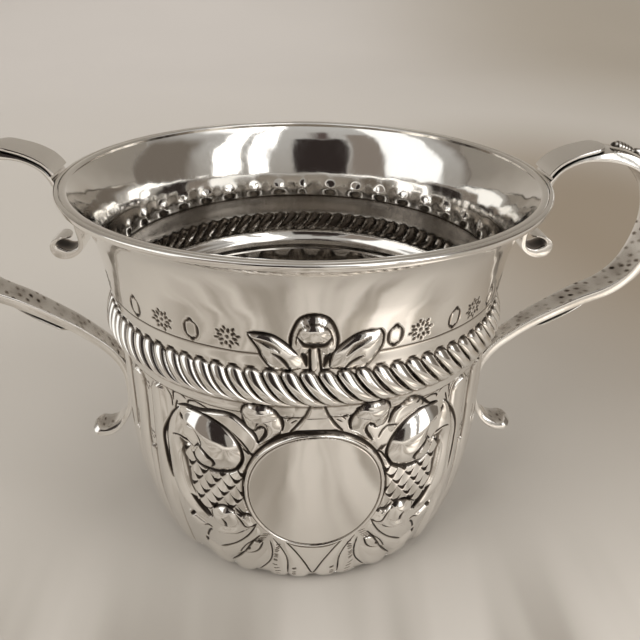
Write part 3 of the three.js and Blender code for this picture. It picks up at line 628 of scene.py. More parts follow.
VOLUTE = [(-36.8, 41.3), (-34, 40.3), (-31, 39.9), (-27, 40.3), (-22, 42), (-18.7, 44.6), (-17, 47.5),
          (-17, 50), (-19, 52.4), (-23, 53.9), (-27, 54.1), (-30.5, 53.1), (-32.6, 51), (-33.5, 49.6),
          (-36.2, 48.3), (-39.5, 47.8), (-39.5, 44.4)]
both(raised, VOLUTE, 0.45, 2.0)
DOME = [(-36, 43), (-34.4, 41.2), (-31, 40.3), (-27, 40.7), (-22.2, 42.4), (-19, 44.9), (-17.4, 47.6),
        (-17.4, 50), (-19.4, 52.2), (-23, 53.5), (-27, 53.7), (-30.3, 52.6), (-32, 50.4), (-31, 48),
        (-31.8, 45.4)]
both(raised, DOME, 2.5, 5.4, cap=True)
both(traced, VOLUTE[1:13], 0.85, 0.34, ends=0.1)
OUTER_SCROLL = [(-36.5, 40.6), (-39.5, 43), (-42, 46.5), (-43.4, 50), (-43.3, 54), (-42.9, 58), (-42.4, 62),
                (-40.5, 66), (-37, 69), (-32.5, 70.3), (-28.6, 69.6), (-30.5, 67.6), (-33, 65.4), (-35.3, 62),
                (-36.6, 58), (-37.6, 54), (-37.4, 51), (-36, 49.6), (-34, 49.2), (-34, 46), (-35, 43)]
both(raised, OUTER_SCROLL, 1.1, 3.4, cap=True)
both(traced, OUTER_SCROLL[:7], 0.8, 0.3, ends=0.2)
both(ridge, [(-36.6, 51.4), (-37.5, 54), (-36.8, 58), (-35.5, 62), (-33.3, 65.2), (-29, 69.2)], 1.1, 0.35)
# The scroll's shaded channel, its foot, the volute's inner lines and its ring
pairs(traced,
      ([(-36.3, 49.9), (-36.2, 52), (-35.3, 55), (-34.7, 58), (-34.3, 61), (-33, 63.5)], 1.5, 0.3, 0.3, 0.75),
      ([(-35, 63.6), (-32.5, 65.6), (-30.5, 67.2), (-28.3, 69.2)], 1.7, 0.4, 0.4),
      ([(-34, 44.2), (-30.6, 44.5), (-28.8, 45.6), (-28, 47.2)], 1.15, 0.3, 0.4),
      ([(-39, 48), (-36.5, 47.5), (-33.8, 48.7), (-31.9, 49.5)], 0.5, 0.25),
      ([(-36.2, 41.9), (-35.2, 42.9), (-33.6, 43)], 1.0, 0.25, 0.35),
      ([(-31.4, 49), (-29.2, 47.5), (-26.4, 47.9), (-24.4, 49.2), (-24, 50.5), (-25.2, 52)],
       0.75, 0.28, 0.25))
for middle in ((-28, 50), *mirrored([(-28, 50)])):
    boss(middle, 4.1, 3.1, 0.5)
both(traced, [(-36.4, 48.2), (-35.7, 50.2), (-36, 52.4)], 2.0, 0.3, ends=0.4, stain=0.72)
count_marks("scrolls")

# %% Ribbon and frill
RIBBON = [(-37.5, 40.5), (-34, 39.5), (-29, 39.2), (-25, 38.5), (-20, 38.2), (-17, 39.4), (-13.5, 42),
          (-12, 44.6)]
traced(RIBBON, 0.85, 0.28)
raised(RIBBON + [(-14.3, 47.6), (-17.2, 45.4), (-21, 42), (-27, 40), (-33, 40)], 0.5, 0.9)
traced([(-20, 42.2), (-16.6, 44.5), (-14.4, 47), (-14, 48.6)], 0.6, 0.24)
RIGHT_RIBBON = [(23.2, 41.3), (24.2, 38.6), (26, 36.8), (29, 35.6), (32, 36.3), (35, 38.4), (38, 40.2)]
traced(RIGHT_RIBBON, 0.8, 0.28)
raised(RIGHT_RIBBON + [(33, 39.8), (28, 41), (24.5, 43.5)], 0.7, 1.4)
traced([(20.4, 44.4), (21.8, 42.4), (24.6, 41.4), (26, 42.2)], 0.5, 0.22)
traced([(19.6, 47.4), (21.6, 48.2), (23.3, 50.2)], 0.5, 0.22)
for arc in ([(-38.8, 39.8), (-38.3, 37.5), (-35.5, 37), (-33.6, 38)],
            [(-33.4, 39), (-32.6, 38), (-30, 37.6), (-26.3, 38.5)],
            [(-39.4, 41.5), (-39.6, 39), (-41, 37.2)], [(-37.2, 39.2), (-38, 40.8), (-38.4, 42)]):
    both(traced, arc, 0.5, 0.24)
for stroke in ([(-4.4, 38.2), (-3, 37.2)], [(-3.4, 38.8), (-1.8, 37.9)], [(-4.8, 37), (-2.4, 36.6)],
               [(-0.8, 37.2), (-5.4, 37.5)]):
    both(traced, stroke, 0.35, 0.2)
traced([(11.4, 37.3), (8.2, 37.2)], 0.35, 0.2)
for turn in (-16.5, -15.9, -15.2):
    both(traced, [(turn, 46.6), (turn + 1.4, 47.6)], 0.35, 0.2, ends=0)
count_marks("ribbon")

# %% Lower scroll and leaves
SMALL_SCROLL = [(-27.6, 65.6), (-25.3, 64), (-22.5, 63.6), (-20.2, 64.8), (-19.4, 67), (-20.2, 69.4),
                (-22.8, 70.6), (-25.8, 70.2), (-27.8, 68.8), (-28.3, 67)]
both(raised, SMALL_SCROLL, 1.6, 3.4, cap=True)
pairs(traced, (SMALL_SCROLL[:4], 0.85, 0.3, 0.2), (SMALL_SCROLL[6:], 0.5, 0.24),
      ([(-23.6, 66.2), (-22.6, 67.6), (-23.2, 69.2), (-25.4, 69.3)], 0.6, 0.26, 0.3))
both(raised, [(-20.2, 64.6), (-17, 65.4), (-14.6, 67.6), (-16.5, 69.6), (-19.5, 71.8), (-24, 73.4), (-28, 74),
              (-26, 71.6), (-22, 70.6), (-19.8, 68.4)], 0.7, 1.4)
pairs(traced, ([(-20.6, 64.9), (-18.3, 66.3), (-17, 67.9), (-15, 68.1), (-13.7, 67.2)], 0.6, 0.28),
      ([(-20, 63.3), (-17.8, 64.9), (-16.3, 64.4), (-15.2, 65.2)], 0.8, 0.3),
      ([(-17.4, 69.6), (-20.3, 71.8), (-24, 73.2), (-27.5, 73.7)], 0.55, 0.26),
      ([(-13.9, 67.7), (-17, 72), (-22, 76.4), (-28.5, 80.2)], 0.42, 0.2),
      ([(-12.8, 70.8), (-16.5, 75), (-20.2, 80), (-25.5, 84.8)], 0.5, 0.24))
both(raised, [(-14, 68.2), (-17, 72.2), (-22, 76.6), (-28.5, 80.4), (-26, 83.6), (-20.4, 79.6), (-16.6, 74.8),
              (-12.9, 70.4)], 0.55, 1.3)
EYE_LEAF = [(-12.4, 73.4), (-12.4, 73.4), (-15.2, 73.6), (-18, 75.4), (-20.8, 79.2), (-20.8, 79.2),
            (-17, 78.6), (-14, 76.6)]
both(raised, EYE_LEAF, 0.5, 1.2)
pairs(traced, (EYE_LEAF[1:5], 0.42, 0.22), (EYE_LEAF[5:] + EYE_LEAF[:1], 0.5, 0.24),
      ([(-18, 77), (-16.4, 75.8)], 0.9, 0.3, 0.5))
for turn, depth in ((-36.2, 70.7), (-36.4, 74), (-34, 79.5)):
    both(traced, [(turn - 0.8, depth + 0.3), (turn + 0.9, depth - 0.4)], 1.1, 0.3, ends=0.4)
pairs(traced, ([(-33.4, 73.9), (-31.5, 72.9), (-29.6, 73.3)], 0.7, 0.28),
      ([(-30, 74), (-31.5, 75.3), (-33.2, 78)], 0.6, 0.26))
both(raised, [(-38, 70), (-34, 71.3), (-31, 72.7), (-33.5, 74), (-36.5, 73.5)], 0.7, 1.1)
count_marks("leaves")

# %% Hatched strips and base lobes
def hatched(points, width, count):
    """A strip of short ticks across a line"""
    path = curve(points)
    for k in range(count):
        turn, depth = path[int((k + 0.5) / count * (len(path) - 1))]
        traced([(turn - width / 2, depth + 0.25), (turn + width / 2, depth - 0.25)], 0.34, 0.2, 0.3, 0.9)


pairs(hatched, ([(-10.9, 70), (-12.4, 72), (-13.6, 73.4)], 2.4, 6),
      ([(-7.6, 73.6), (-8.4, 77), (-9, 80.2)], 1.5, 9),
      ([(-9.4, 81.5), (-8.6, 84), (-8.9, 86.5)], 2.0, 4), ([(-2.9, 82.4), (-3.2, 86)], 1.5, 5))
pairs(traced, ([(-9.2, 71.2), (-6.2, 76), (-5.1, 80), (-5.4, 86)], 0.35, 0.18),
      ([(-10.2, 72.2), (-9.7, 76.5), (-11, 81), (-15.5, 86)], 0.4, 0.2))
pairs(raised,
      ([(-5.6, 72.8), (-2.6, 76.6), (0, 81), (2, 86.5), (1.5, 88.8), (-4.9, 88.8), (-5, 80), (-6, 76)],
       0.55, 1.6),
      ([(-9.4, 72), (-6.3, 76.4), (-5.4, 80), (-5.6, 88.8), (-12, 88.8), (-11, 84), (-10, 80), (-9.6, 76)],
       0.5, 1.4),
      ([(-11.2, 76), (-12.4, 80.6), (-17, 87), (-18, 88.8), (-25, 88.8), (-24.5, 84.8), (-20.6, 80.4),
        (-17, 79), (-14.2, 77.4)], 0.7, 2.2),
      ([(-28, 81), (-33, 79), (-35, 80), (-34.5, 84), (-33, 88.8), (-26, 88.8), (-26.4, 85)], 0.6, 2))
count_marks("base lobes")

# %% Finial
BUD = [(-3.1, 20.4), (-3.2, 18.2), (-2.4, 15.8), (-0.9, 13.6), (2, 12.7), (5.1, 13.5), (6.8, 15.8),
       (7.6, 18.4), (7.3, 20.6), (5.2, 22.2), (2.4, 20), (-0.6, 22.2)]
raised(BUD, 1.1, 2.8, cap=True)
traced(BUD[:9], 0.75, 0.3, ends=0.1)
traced([(-1.9, 19.6), (-1.8, 17.6), (-0.6, 15.2), (2.2, 14), (5, 15.2), (6.2, 17.6), (6.2, 19.6)], 0.3, 0.16)
raised(oval(3.5, 2.4, (2.2, 16.0), 16), 0.9, 2.4, over=True, cap=True)
traced([(-1.6, 17.2), (0.1, 18.8), (2.3, 19.3), (4.7, 18.7), (6.2, 17.2)], 1.6, 0.35, ends=0.5)
for stem in ([(1.2, 20.2), (1.2, 22), (1.3, 25.4)], [(3.2, 20.2), (3.5, 22), (4, 25.4)]):
    traced(stem, 0.62, 0.24, ends=0)
ridge([(2.1, 19.6), (2.2, 25)], 1.3, 0.35, ends=0)
for drop in ([(-0.7, 20.6), (0.1, 22.4), (0.5, 24.6)], [(5.9, 20.8), (5.2, 22.6), (4.6, 24.8)]):
    traced(drop, 1.4, 0.3, ends=0.5)
LEFT_LEAF = [(-13.2, 17.4), (-13.2, 17.4), (-10, 17.2), (-6.8, 17.7), (-3.2, 20), (-1.4, 21.6), (-0.6, 24.6),
             (-3, 25.4), (-7.8, 25.4), (-10, 22.6), (-10.8, 20.6)]
RIGHT_LEAF = [(17.6, 16.9), (17.6, 16.9), (13, 17.2), (10, 18.5), (6.6, 21.3), (5.8, 24.6), (9, 25.4),
              (15, 25.4), (17.9, 21.4), (18.5, 18.6)]
raised(LEFT_LEAF, 1.3, 3.6, cap=True)
raised(RIGHT_LEAF, 1.3, 3.6, cap=True)
traced(LEFT_LEAF[1:6], 0.7, 0.3)
traced(LEFT_LEAF[8:] + LEFT_LEAF[:1], 0.75, 0.26)
# A broad, shallow darkened stroke under the left leaf's upper edge: painted shadow of its fold
traced([(-12.6, 18.2), (-9.8, 18.6), (-7.2, 19.4), (-5.4, 20.6)], 0.9, 0.2, ends=0.5, stain=0.7)
traced([(-7.2, 20.7), (-5.3, 21.8), (-4, 23.2), (-3.4, 25.4)], 0.8, 0.25, ends=0.3)
traced(RIGHT_LEAF[1:6], 0.6, 0.28)
traced(RIGHT_LEAF[7:] + RIGHT_LEAF[:1], 0.6, 0.28)
# The same painted shadow of the fold under the right leaf's upper edge
traced([(15.2, 18), (11.6, 19.6), (9.4, 21.6)], 0.9, 0.2, ends=0.5, stain=0.7)
traced([(13.6, 21.5), (11.8, 22.2), (10.4, 23.2), (9.4, 25.4)], 0.8, 0.25, ends=0.3)
count_marks("finial")

# %% [markdown]
# ## Scales, rope, stamps and lobes
# What repeats follows a rule, so it is worked out for all points at once and not line by line. A scale
# rises towards its lower edge and drops at it. A strand of the rope is upright at its round top and sweeps
# to the right into a point. Stamps alternate all the way round, and long lobes with round tops alternate
# with short ones. Copies of one modelled strand or lobe would leave seams, which a raised sheet hasn't.

# %% Scales
SCALE_ROW = 2.75         # millimetres from row to row
SCALE_PITCH = 4.1        # degrees from scale to scale
SCALE_SAG = 1.15         # how far a scale hangs down in its middle
SCALE_TILT = 0.28        # how much the rows slant
SCALE_PANEL = [(-36, 50.4), (-33, 49.6), (-31.8, 52.2), (-28, 54.2), (-22.5, 54.2), (-18.6, 52.6),
               (-16.6, 50), (-16.9, 55), (-17, 60), (-16, 64), (-15.6, 66.4), (-19.2, 64.6), (-22.4, 63.2),
               (-26, 64), (-28.6, 66.4), (-32, 64.6), (-34.4, 60), (-35.3, 55)]


def scales(sheet, panel, tilt):
    """Overlapping scales inside a panel, drawn as slanting rows of arcs"""
    low = panel.min(0)
    pick = in_box(sheet, low, panel.max(0))
    pick = pick[inside(sheet, pick, panel)]
    turn, depth = sheet.turn[pick], sheet.depth[pick]
    above, below, centre = np.full(len(pick), -99.0), np.full(len(pick), 999.0), np.zeros(len(pick))
    for k in range(-2, 10):
        share = (turn - MIDDLE) / SCALE_PITCH + 0.5 * (k % 2)
        share -= np.round(share)
        slant = tilt * (turn - panel[:, 0].mean())
        edge = low[1] + 1.0 + SCALE_ROW * k + slant - SCALE_SAG * (2 * share) ** 2
        later = (edge < depth) & (edge > above)
        above[later], centre[later] = edge[later], np.abs(share[later])
        ahead = (edge >= depth) & (edge < below)
        below[ahead] = edge[ahead]
    sheet.lift(pick, 0.1 + 0.28 * grows(depth, above, below - above + 1e-6) ** 1.5)
    # Each scale's lower edge gets a crescent, cut a little and darkened: painted shade under the edge
    thick = 1.3 * np.clip(1.15 - 1.75 * centre, 0.2, 1)
    crescent = np.clip((thick - (depth - above)) / 0.12, 0, 1)
    sheet.line[pick] -= 0.06 * crescent
    sheet.stain(pick, crescent)


for panel, tilt in ((SCALE_PANEL, SCALE_TILT), (mirrored(SCALE_PANEL), -SCALE_TILT)):
    MARKS.append(lambda sheet, panel=curve(panel, closed=True), tilt=tilt: scales(sheet, panel, tilt))
count_marks("scales")

# %% Rope
STRANDS = 80
STRAND_TOP, STRAND_TIP = 25.5, 33.8
STRAND_LEAN = 8.4
STRAND_FIRST = 2.8


def rope(sheet):
    """The rope girdle: a swelling band, cut into plump strands with round heads that sweep to the right"""
    length = STRAND_TIP - STRAND_TOP
    share = (sheet.depth - STRAND_TOP) / length
    pick = np.flatnonzero((share > -0.1) & (share < 1.1))
    share, degree = share[pick], sheet.degree[pick]
    s = np.clip(share, 0, 1)
    pitch = 360 / STRANDS
    slope = 1.45 * STRAND_LEAN * s ** 0.45 / length * degree
    p = ((sheet.turn[pick] - STRAND_FIRST - STRAND_LEAN * s ** 1.45) / pitch) % 1
    across = np.minimum(p, 1 - p) * pitch * degree / np.hypot(1, slope)
    head = 0.22 * (1 - np.sqrt(1 - 0.97 * (2 * p - 1) ** 2))
    down = np.clip(s - head, 0, 1)
    rise = 1 - (1 - grows(down, 0, 0.62)) ** 1.8
    fall = 1 - grows(s, 0.66, 0.36) ** 2
    knuckle = np.sqrt(1 - (1 - grows(down, 0, 0.09)) ** 2)
    # Inside, the strands read as a flat band between thin ridges
    inner = sheet.outer[pick] == 0
    calm = grows(sheet.depth[pick], 29.6, 0.9) * inner
    ridges = 1 - 0.75 * swells(across, 0, 0.36)
    body = np.where(inner, ridges * (1 - calm) + 0.85 * calm, 1 - np.abs(2 * p - 1) ** 3.6)
    swell = rise * fall * (1.15 + 0.8 * body) + 0.35 * knuckle * body * fall
    sheet.form[pick] += swell * (share > 0)
    within = (s > head) & (s < 0.98)
    groove = swells(across, 0, 0.27 - 0.13 * s) * within
    # The left flank of each strand is darkened as well: a painted dark reflection
    flank = np.clip((0.13 * np.sin(np.pi * grows(s, 0.15, 0.75)) - p) / 0.04, 0, 1) * within
    arch = swells((s - head) * length, 0, 0.24) * (share > -0.05)
    sheet.line[pick] -= 0.16 * groove + 0.12 * arch
    sheet.stain(pick, np.maximum(np.maximum(groove, 0.9 * flank), 0.98 * arch))
    sheet.back[pick] = np.clip((body - 0.45) * 3, 0, 1) * (s > 0) * (1 - calm)


MARKS.append(rope)
count_marks("rope")

# %% Rings
def ring(depth, width, deep, gaps=()):
    """A traced line round the cup, left out where other work crosses it"""
    def work(sheet):
        press = domed(sheet.depth - depth, width / 2, 1.5)
        for low, high in gaps:
            press = press * ((sheet.turn < low) | (sheet.turn > high))
        sheet.cut(EVERYWHERE, deep * press)
        sheet.stain(EVERYWHERE, 0.9 * np.clip(press * 1.4, 0, 1))
    MARKS.append(work)


ring(22.0, 0.42, 0.16, gaps=[(-10.2, 17.9)])
ring(37.0, 0.5, 0.2, gaps=[(-26, 31)])
ring(33.9, 0.3, 0.08)
count_marks("rings")

# %% Stamps
STAMP_DEPTH = 19.0
OVAL_SIDE = [(1.0, -1.9), (1.75, -0.7), (1.7, 0.9), (0.9, 2.1)]
OVAL_FOOT = [(-0.9, 1.5), (0, 2.25), (0.9, 1.5)]


def around(sheet, turn, depth, reach, lower=0.0):
    """Which points lie near a place, so that a sheet of many points stays quick, and how far off"""
    pick = in_box(sheet, (turn, depth), (turn, depth), reach * 1.6, reach)
    return pick, np.hypot((sheet.turn[pick] - turn) * sheet.degree[pick], sheet.depth[pick] - depth - lower)


def dot(turn, depth, size, deep=0.3):
    """One dot of a punch"""
    def work(sheet):
        pick, gap = around(sheet, turn, depth, size)
        press = domed(gap, size, 1.2)
        sheet.form[pick] -= 0.35 * deep * press
        sheet.line[pick] -= 0.65 * deep * press
        sheet.stain(pick, 0.85 * np.clip(press * 1.3, 0, 1))
    MARKS.append(work)


def dented(turn):
    """The bump that a punch leaves on the inner face"""
    def work(sheet):
        pick, gap = around(sheet, turn, STAMP_DEPTH, 4.5, -1.2)
        bump = 0.5 * swells(gap, 0, 1.5)
        sheet.form[pick] -= bump
        sheet.line[pick] += 0.88 * bump
    MARKS.append(work)


def rosette(turn, petals=8):
    """A flower punch: petals drawn by short strokes round a centre, with strokes between their tips"""
    for k in range(2 * petals):
        a = math.tau * k / (2 * petals) + 0.2
        *reach, wide = (1.7, 2.8, 0.6) if k % 2 else (0.9, 2.1, 0.72)
        stroke = [(turn + 1.25 * r * math.cos(a), STAMP_DEPTH + 0.92 * r * math.sin(a)) for r in reach]
        traced(stroke, wide, 0.24, ends=0.3, stain=0.9)
    dot(turn, STAMP_DEPTH, 0.55)


def oval_stamp(turn):
    """An oval punch: two bars that don't quite meet, with a loop at its head and foot"""
    for way in (-1, 1):
        traced([(turn + way * x, STAMP_DEPTH + y) for x, y in OVAL_SIDE], 0.75, 0.25, ends=0.4, stain=0.9)
        traced([(turn + x, STAMP_DEPTH + way * y) for x, y in OVAL_FOOT], 0.85, 0.28, ends=0.4)


ROSETTES = [-36.5, -18, 28.5, 47.5] + [66.2 + 19 * k for k in range(13)]
OVALS = [-47, -27.5, 21.5, 39.5] + [56.8 + 19 * k for k in range(13)]
for stamp, turns in ((rosette, ROSETTES), (oval_stamp, OVALS)):
    for turn in turns:
        turn -= 360 if turn >= 180 else 0
        stamp(turn)
        dented(turn)
count_marks("stamps")

# %% Hammer marks
def hammered(sheet):
    """Low waves that the planishing hammer leaves in the wall, which make its reflections waver"""
    a = np.radians(sheet.turn)
    d = sheet.depth
    wave = np.zeros_like(a)
    for count, along, phase, height in ((23, 0.31, 0.4, 1.0), (31, -0.22, 2.1, 0.8), (17, 0.12, 4.0, 1.2),
                                        (43, 0.55, 1.3, 0.45), (53, -0.47, 5.2, 0.35)):
        wave += height * np.sin(count * a + along * d + phase)
    sheet.form += 0.016 * wave * grows(d, 1, 3)


MARKS.append(hammered)
count_marks("hammer")

# %% Lobes
LOBE_COUNT = 22
LOBE_PITCH = 12.0
LOBE_FIRST = MIDDLE + 48
LOBE_LAST = LOBE_FIRST + LOBE_COUNT * LOBE_PITCH
LOBE_TOP, SHORT_TOP, LOBE_FOOT = 37.4, 56.6, 88.6


def lobes(sheet):
    """Long lobes from the chased line to the base, with short ones between their feet"""
    turn = sheet.turn % 360
    side = grows(turn, LOBE_FIRST - 5.5, 2) * grows(turn, LOBE_LAST + 3.2, -2)
    pick = np.flatnonzero((side > 0) & (sheet.depth > LOBE_TOP - 1.5))
    side, depth, degree = side[pick], sheet.depth[pick], sheet.degree[pick]
    swirl = 3.0 * grows(depth, LOBE_TOP, LOBE_FOOT - LOBE_TOP) ** 1.5
    at = (turn[pick] - LOBE_FIRST + swirl) / LOBE_PITCH
    long_off = (at - np.round(at)) * LOBE_PITCH
    short_off = (at - np.floor(at) - 0.5) * LOBE_PITCH
    foot = grows(depth, 90.5, -3)
    for off, half, top, height in ((long_off, 4.2, LOBE_TOP, 0.85), (short_off, 1.8, SHORT_TOP, 0.65)):
        reach = half * degree
        arch = grows(depth, top, reach)
        width = reach * np.sqrt(np.clip(1 - (1 - arch) ** 2, 0, 1)) + 1e-6
        gap = np.abs(off) * degree
        sheet.lift(pick, height * np.sqrt(domed(gap, width)) ** 1.3 * (arch > 0) * side * foot)
        edge = swells(gap, width, 0.26) * (arch > 0)
        sheet.line[pick] -= 0.14 * edge * side * foot
        sheet.stain(pick, 0.75 * edge * side)


MARKS.append(lobes)
for k in range(LOBE_COUNT):
    turn = LOBE_FIRST + (k + 0.5) * LOBE_PITCH
    turn -= 360 if turn > 180 else 0
    for depth in (40.2, 53.6):
        for angle in (math.tau * j / 5 + 0.3 for j in range(5)):
            dot(turn - 0.6 + 1.1 * math.cos(angle), depth + 0.9 * math.sin(angle), 0.4, 0.25)
count_marks("lobes")

# %% [markdown]
# ## Rolling the sheet into the bowl
# A zone is a closed loop of points, down the outside and up the inside, carried round the axis. Rows are
# close together where the ornament is fine. A grid primitive has the right number of points from the
# start. Each point is put on its place round the axis, moved by the marks, and the grid's meeting edges
# are merged.

# %% Loops of the wall
def rows_between(spans):
    """Depths down the wall, from spans of (from, to, spacing)"""
    depths = []
    for low, high, spacing in spans:
        count = max(1, round((high - low) / spacing))
        depths += [low + (high - low) * k / count for k in range(count)]
    return np.array(depths + [spans[-1][1]])


def wall_normal(height):
    """The outward direction of the wall's line at a height"""
    slope = (wall_radius(height + 0.02) - wall_radius(height - 0.02)) / 0.04
    length = np.hypot(1, slope)
    return 1 / length, -slope / length


def wall_loop(outer_depths, inner_depths, cap=()):
    """A closed loop in the wall: radius, height, normal, depth and whether it is the outer face"""
    loop = []
    for depths, outer in ((outer_depths, 1), (inner_depths[::-1], 0)):
        for depth in depths:
            height, within = HEIGHT - depth, 0 if outer else WALL
            nr, nz = wall_normal(height)
            radius = float(wall_radius(height)) - within * nr
            loop.append((radius, height - within * nz, nr, nz, depth, outer))
    return loop + list(cap)


# %% A piece from a grid
MERGED_WITHIN = 1e-7
SMOOTH_ANGLE = math.radians(55)


def repeated(loop, columns):
    """A closed loop's values, each repeated for every column of a grid"""
    return (np.repeat(np.array(values, float)[:, None], columns + 1, 1) for values in zip(*loop, loop[0]))


def piece(name, places, replaced, material, stains=None):
    """A piece from a grid primitive: its points take their places in millimetres, the meeting edges are
    merged, the ends closed, and it gets its shading, material and body, while the CAD node it replaces is
    hidden"""
    rows, columns = places.shape[:2]
    bpy.ops.object.select_all(action="DESELECT")
    bpy.ops.mesh.primitive_grid_add(x_subdivisions=columns - 1, y_subdivisions=rows - 1, size=1)
    made = bpy.context.object
    made.name = made.data.name = name
    made.data.vertices.foreach_set("co", (places * MM).reshape(-1))
    if stains is not None:
        recess = made.data.attributes.new("recess", "FLOAT", "POINT")
        recess.data.foreach_set("value", stains.astype(np.float32).ravel())
    made.data.update()
    bpy.ops.object.mode_set(mode="EDIT")
    for step, values in ((bpy.ops.mesh.remove_doubles, {"threshold": MERGED_WITHIN}),
                         (bpy.ops.mesh.fill_holes, {"sides": 0}),
                         (bpy.ops.mesh.normals_make_consistent, {"inside": False})):
        bpy.ops.mesh.select_all(action="SELECT")
        step(**values)
    bpy.ops.object.mode_set(mode="OBJECT")
    bpy.ops.object.shade_smooth_by_angle(angle=SMOOTH_ANGLE)
    made.data.materials.clear()
    made.data.materials.append(material)
    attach(made, "root")
    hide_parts(replaced)
    print(f"{name}: {sum(len(face.vertices) - 2 for face in made.data.polygons)} triangles")


# %% A zone of the bowl
INNER_FORM = 0.9         # share of a form that shows on the inner face
UNDERSIDE = 34           # radius of the plain underside, which has no marks


def inside_stain(hollows, depths):
    """Tarnish and painted shade on the inner face: in the hollows behind the strands, in the band over them
    and low down
    """
    band = grows(depths, 19.7, 0.4) * grows(depths, 30.9, -0.9)
    above = 0.48 * grows(depths, 25.4, -0.5)
    low = 0.34 * grows(depths, 32.6, 0.8) * (1 - swells(depths, 33.4, 0.3))
    edge = swells(depths, 20.1, 0.28)
    return np.clip(band * (0.04 + 0.68 * np.maximum(hollows, above)) + edge + low, 0, 1)


def zone(name, loop, columns, start=-180.0, sweep=360.0, crowd=0.0):
    """Rolls one zone of the wall. Crowd draws the columns together at the front"""
    r, z, nr, nz, depth, outer = repeated(loop, columns)
    turn = start + sweep * np.linspace(0, 1, columns + 1)
    turn = turn - math.degrees(crowd) * np.sin(np.radians(turn - MIDDLE))
    turn = np.repeat(turn[None], len(r), 0)
    sheet = Sheet(((turn + 180) % 360 - 180).ravel(), depth.ravel(), r.ravel(), outer.ravel())
    for mark in MARKS:
        mark(sheet)
    form, line, recess, back = (values.reshape(r.shape) for values in (sheet.form, sheet.line, sheet.recess,
                                                                       sheet.back))
    push = np.where(outer == 1, form + line, INNER_FORM * form) * grows(r, UNDERSIDE, 2)
    radius, height, angle = r + push * nr, z + push * nz, np.radians(turn - SCRIBED)
    if sweep == 360:
        for grid in (radius, height, angle):
            grid[:, -1] = grid[:, 0]
    places = np.stack([radius * np.sin(angle), -radius * np.cos(angle), height], -1)
    stains = np.where(outer == 1, recess, inside_stain(back, depth))
    piece(name, places, "cup_body", CUP_SILVER, stains)


# %% Upper wall with the lip
LIP_TOP = [(53.9, 89.2), (53.82, 89.4), (53.6, 89.48), (53.0, 89.5), (52.5, 89.42), (52.2, 89.1)]
lip = [(r, z, 0, 1, 0.0, 0) for r, z in LIP_TOP]
upper_outer = rows_between([(0.84, 4.5, 0.6), (4.5, 12, 1.1), (12, 16.2, 0.3), (16.2, 24.3, 0.24)])
upper_inner = rows_between([(0.9, 4.5, 0.6), (4.5, 15, 1.1), (15, 24.3, 0.42)])
upper = wall_loop(upper_outer, upper_inner, lip[::-1])
zone("cup_upper_wall", upper, 900, crowd=0.4)

# %% Girdle
girdle = wall_loop(rows_between([(24.3, 34, 0.2), (34, 37, 0.5)]), rows_between([(24.3, 37, 0.42)]))
zone("cup_rope_girdle", girdle, 1100, crowd=0.35)

# %% Lower wall
LOWER_END = 86.9
body_outer = rows_between([(37, LOWER_END, 0.17)])
body_inner = rows_between([(37, LOWER_END, 0.9)])
body = wall_loop(body_outer, body_inner)
back_outer = rows_between([(37, 60, 0.42), (60, LOWER_END, 0.5)])
back_wall = wall_loop(back_outer, rows_between([(37, LOWER_END, 1.1)]))
for name, loop, columns, first, sweep in (
        ("cup_cartouche", body, 190, -20.5, 41), ("cup_scrolls_left", body, 140, -49, 28.5),
        ("cup_scrolls_right", body, 140, 20.5, 28.5), ("cup_lobed_back", back_wall, 560, 49, 262)):
    zone(name, loop, columns, start=MIDDLE + first, sweep=sweep)

# %% Base
base_loop = wall_loop(rows_between([(LOWER_END, 88.1, 0.3)]), [])
under = [(36.1, 1.0), (35.2, 1.2), (34, 1.4), (30, 1.45), (20, 1.5), (10, 1.5), (0.0, 1.5)]
under = [(r, z, int(r > UNDERSIDE), -0.6 if r > UNDERSIDE else 0, 88.1, 1) for r, z in under]
floor_points = [(0.0, 2.3), (10, 2.3), (20, 2.3), (30, 2.35), (33, 2.5), (35, 2.75), (36.3, 3.1)]
floor_points = [(r, z, 0, 0, 88.1, 0) for r, z in floor_points]
inner_top = wall_loop([], rows_between([(LOWER_END, LOWER_END + 0.6, 0.6)]))
zone("cup_base", base_loop + under + floor_points + inner_top, 400, crowd=0.2)

# %% [markdown]
# ## The rim wire and the foot ring
# A wire is soldered round the lip to stiffen it, and a low ring lifts the rounded base off the table. Both
# are a small section carried round the axis. A torus would be quicker, but both are flat where they meet
# the bowl. The wire fits close to the lip, so that they read as one pale rolled band.

# %% Rings round the axis
def turned_ring(name, loop, replaced, columns=480):
    """A closed loop of radii and heights carried round the axis"""
    r, z = repeated(loop, columns)
    angle = np.linspace(0, math.tau, columns + 1)
    angle[-1] = 0
    places = np.stack([r * np.sin(angle), -r * np.cos(angle), z], -1)
    piece(name, places, replaced, CUP_SILVER)


def on_arc(centre, radius, degrees):
    """A point of an arc"""
    a = math.radians(degrees)
    return centre[0] + radius * math.cos(a), centre[1] + radius * math.sin(a)


def rounded(low, high, soft, steps=4):
    """A rectangle's outline with round corners, from its lowest and highest corner"""
    corners = [(high[0] - soft, low[1] + soft, -90), (high[0] - soft, high[1] - soft, 0),
               (low[0] + soft, high[1] - soft, 90), (low[0] + soft, low[1] + soft, 180)]
    return [on_arc((x, y), soft, a + 90 * k / steps) for x, y, a in corners for k in range(steps + 1)]


wire = [(r if r > 54.3 else 53.97, z) for r, z in rounded((53.8, 88.12), (54.98, 89.48), 0.42)]
turned_ring("rim_wire_rolled", wire, "rim_wire")
turned_ring("foot_ring_soldered", rounded((30.85, 0.0), (33.15, 1.1), 0.3), "foot_ring")

# %% [markdown]
# ## The handles
# Each strap is one strip of silver, drawn thin at both ends. A smith bends it round a stake into a double
# scroll. Its line is a row of points: from the rolled curl that hangs under the lip, over the rim, round
# the outer bend and down to the open curl at its foot. A section is set square to the line at every step,
# flat towards the hand and domed on the back. A curve object with a bevel could carry a section too, but
# not one that changes in width and in thickness by itself, as a drawn strip does.

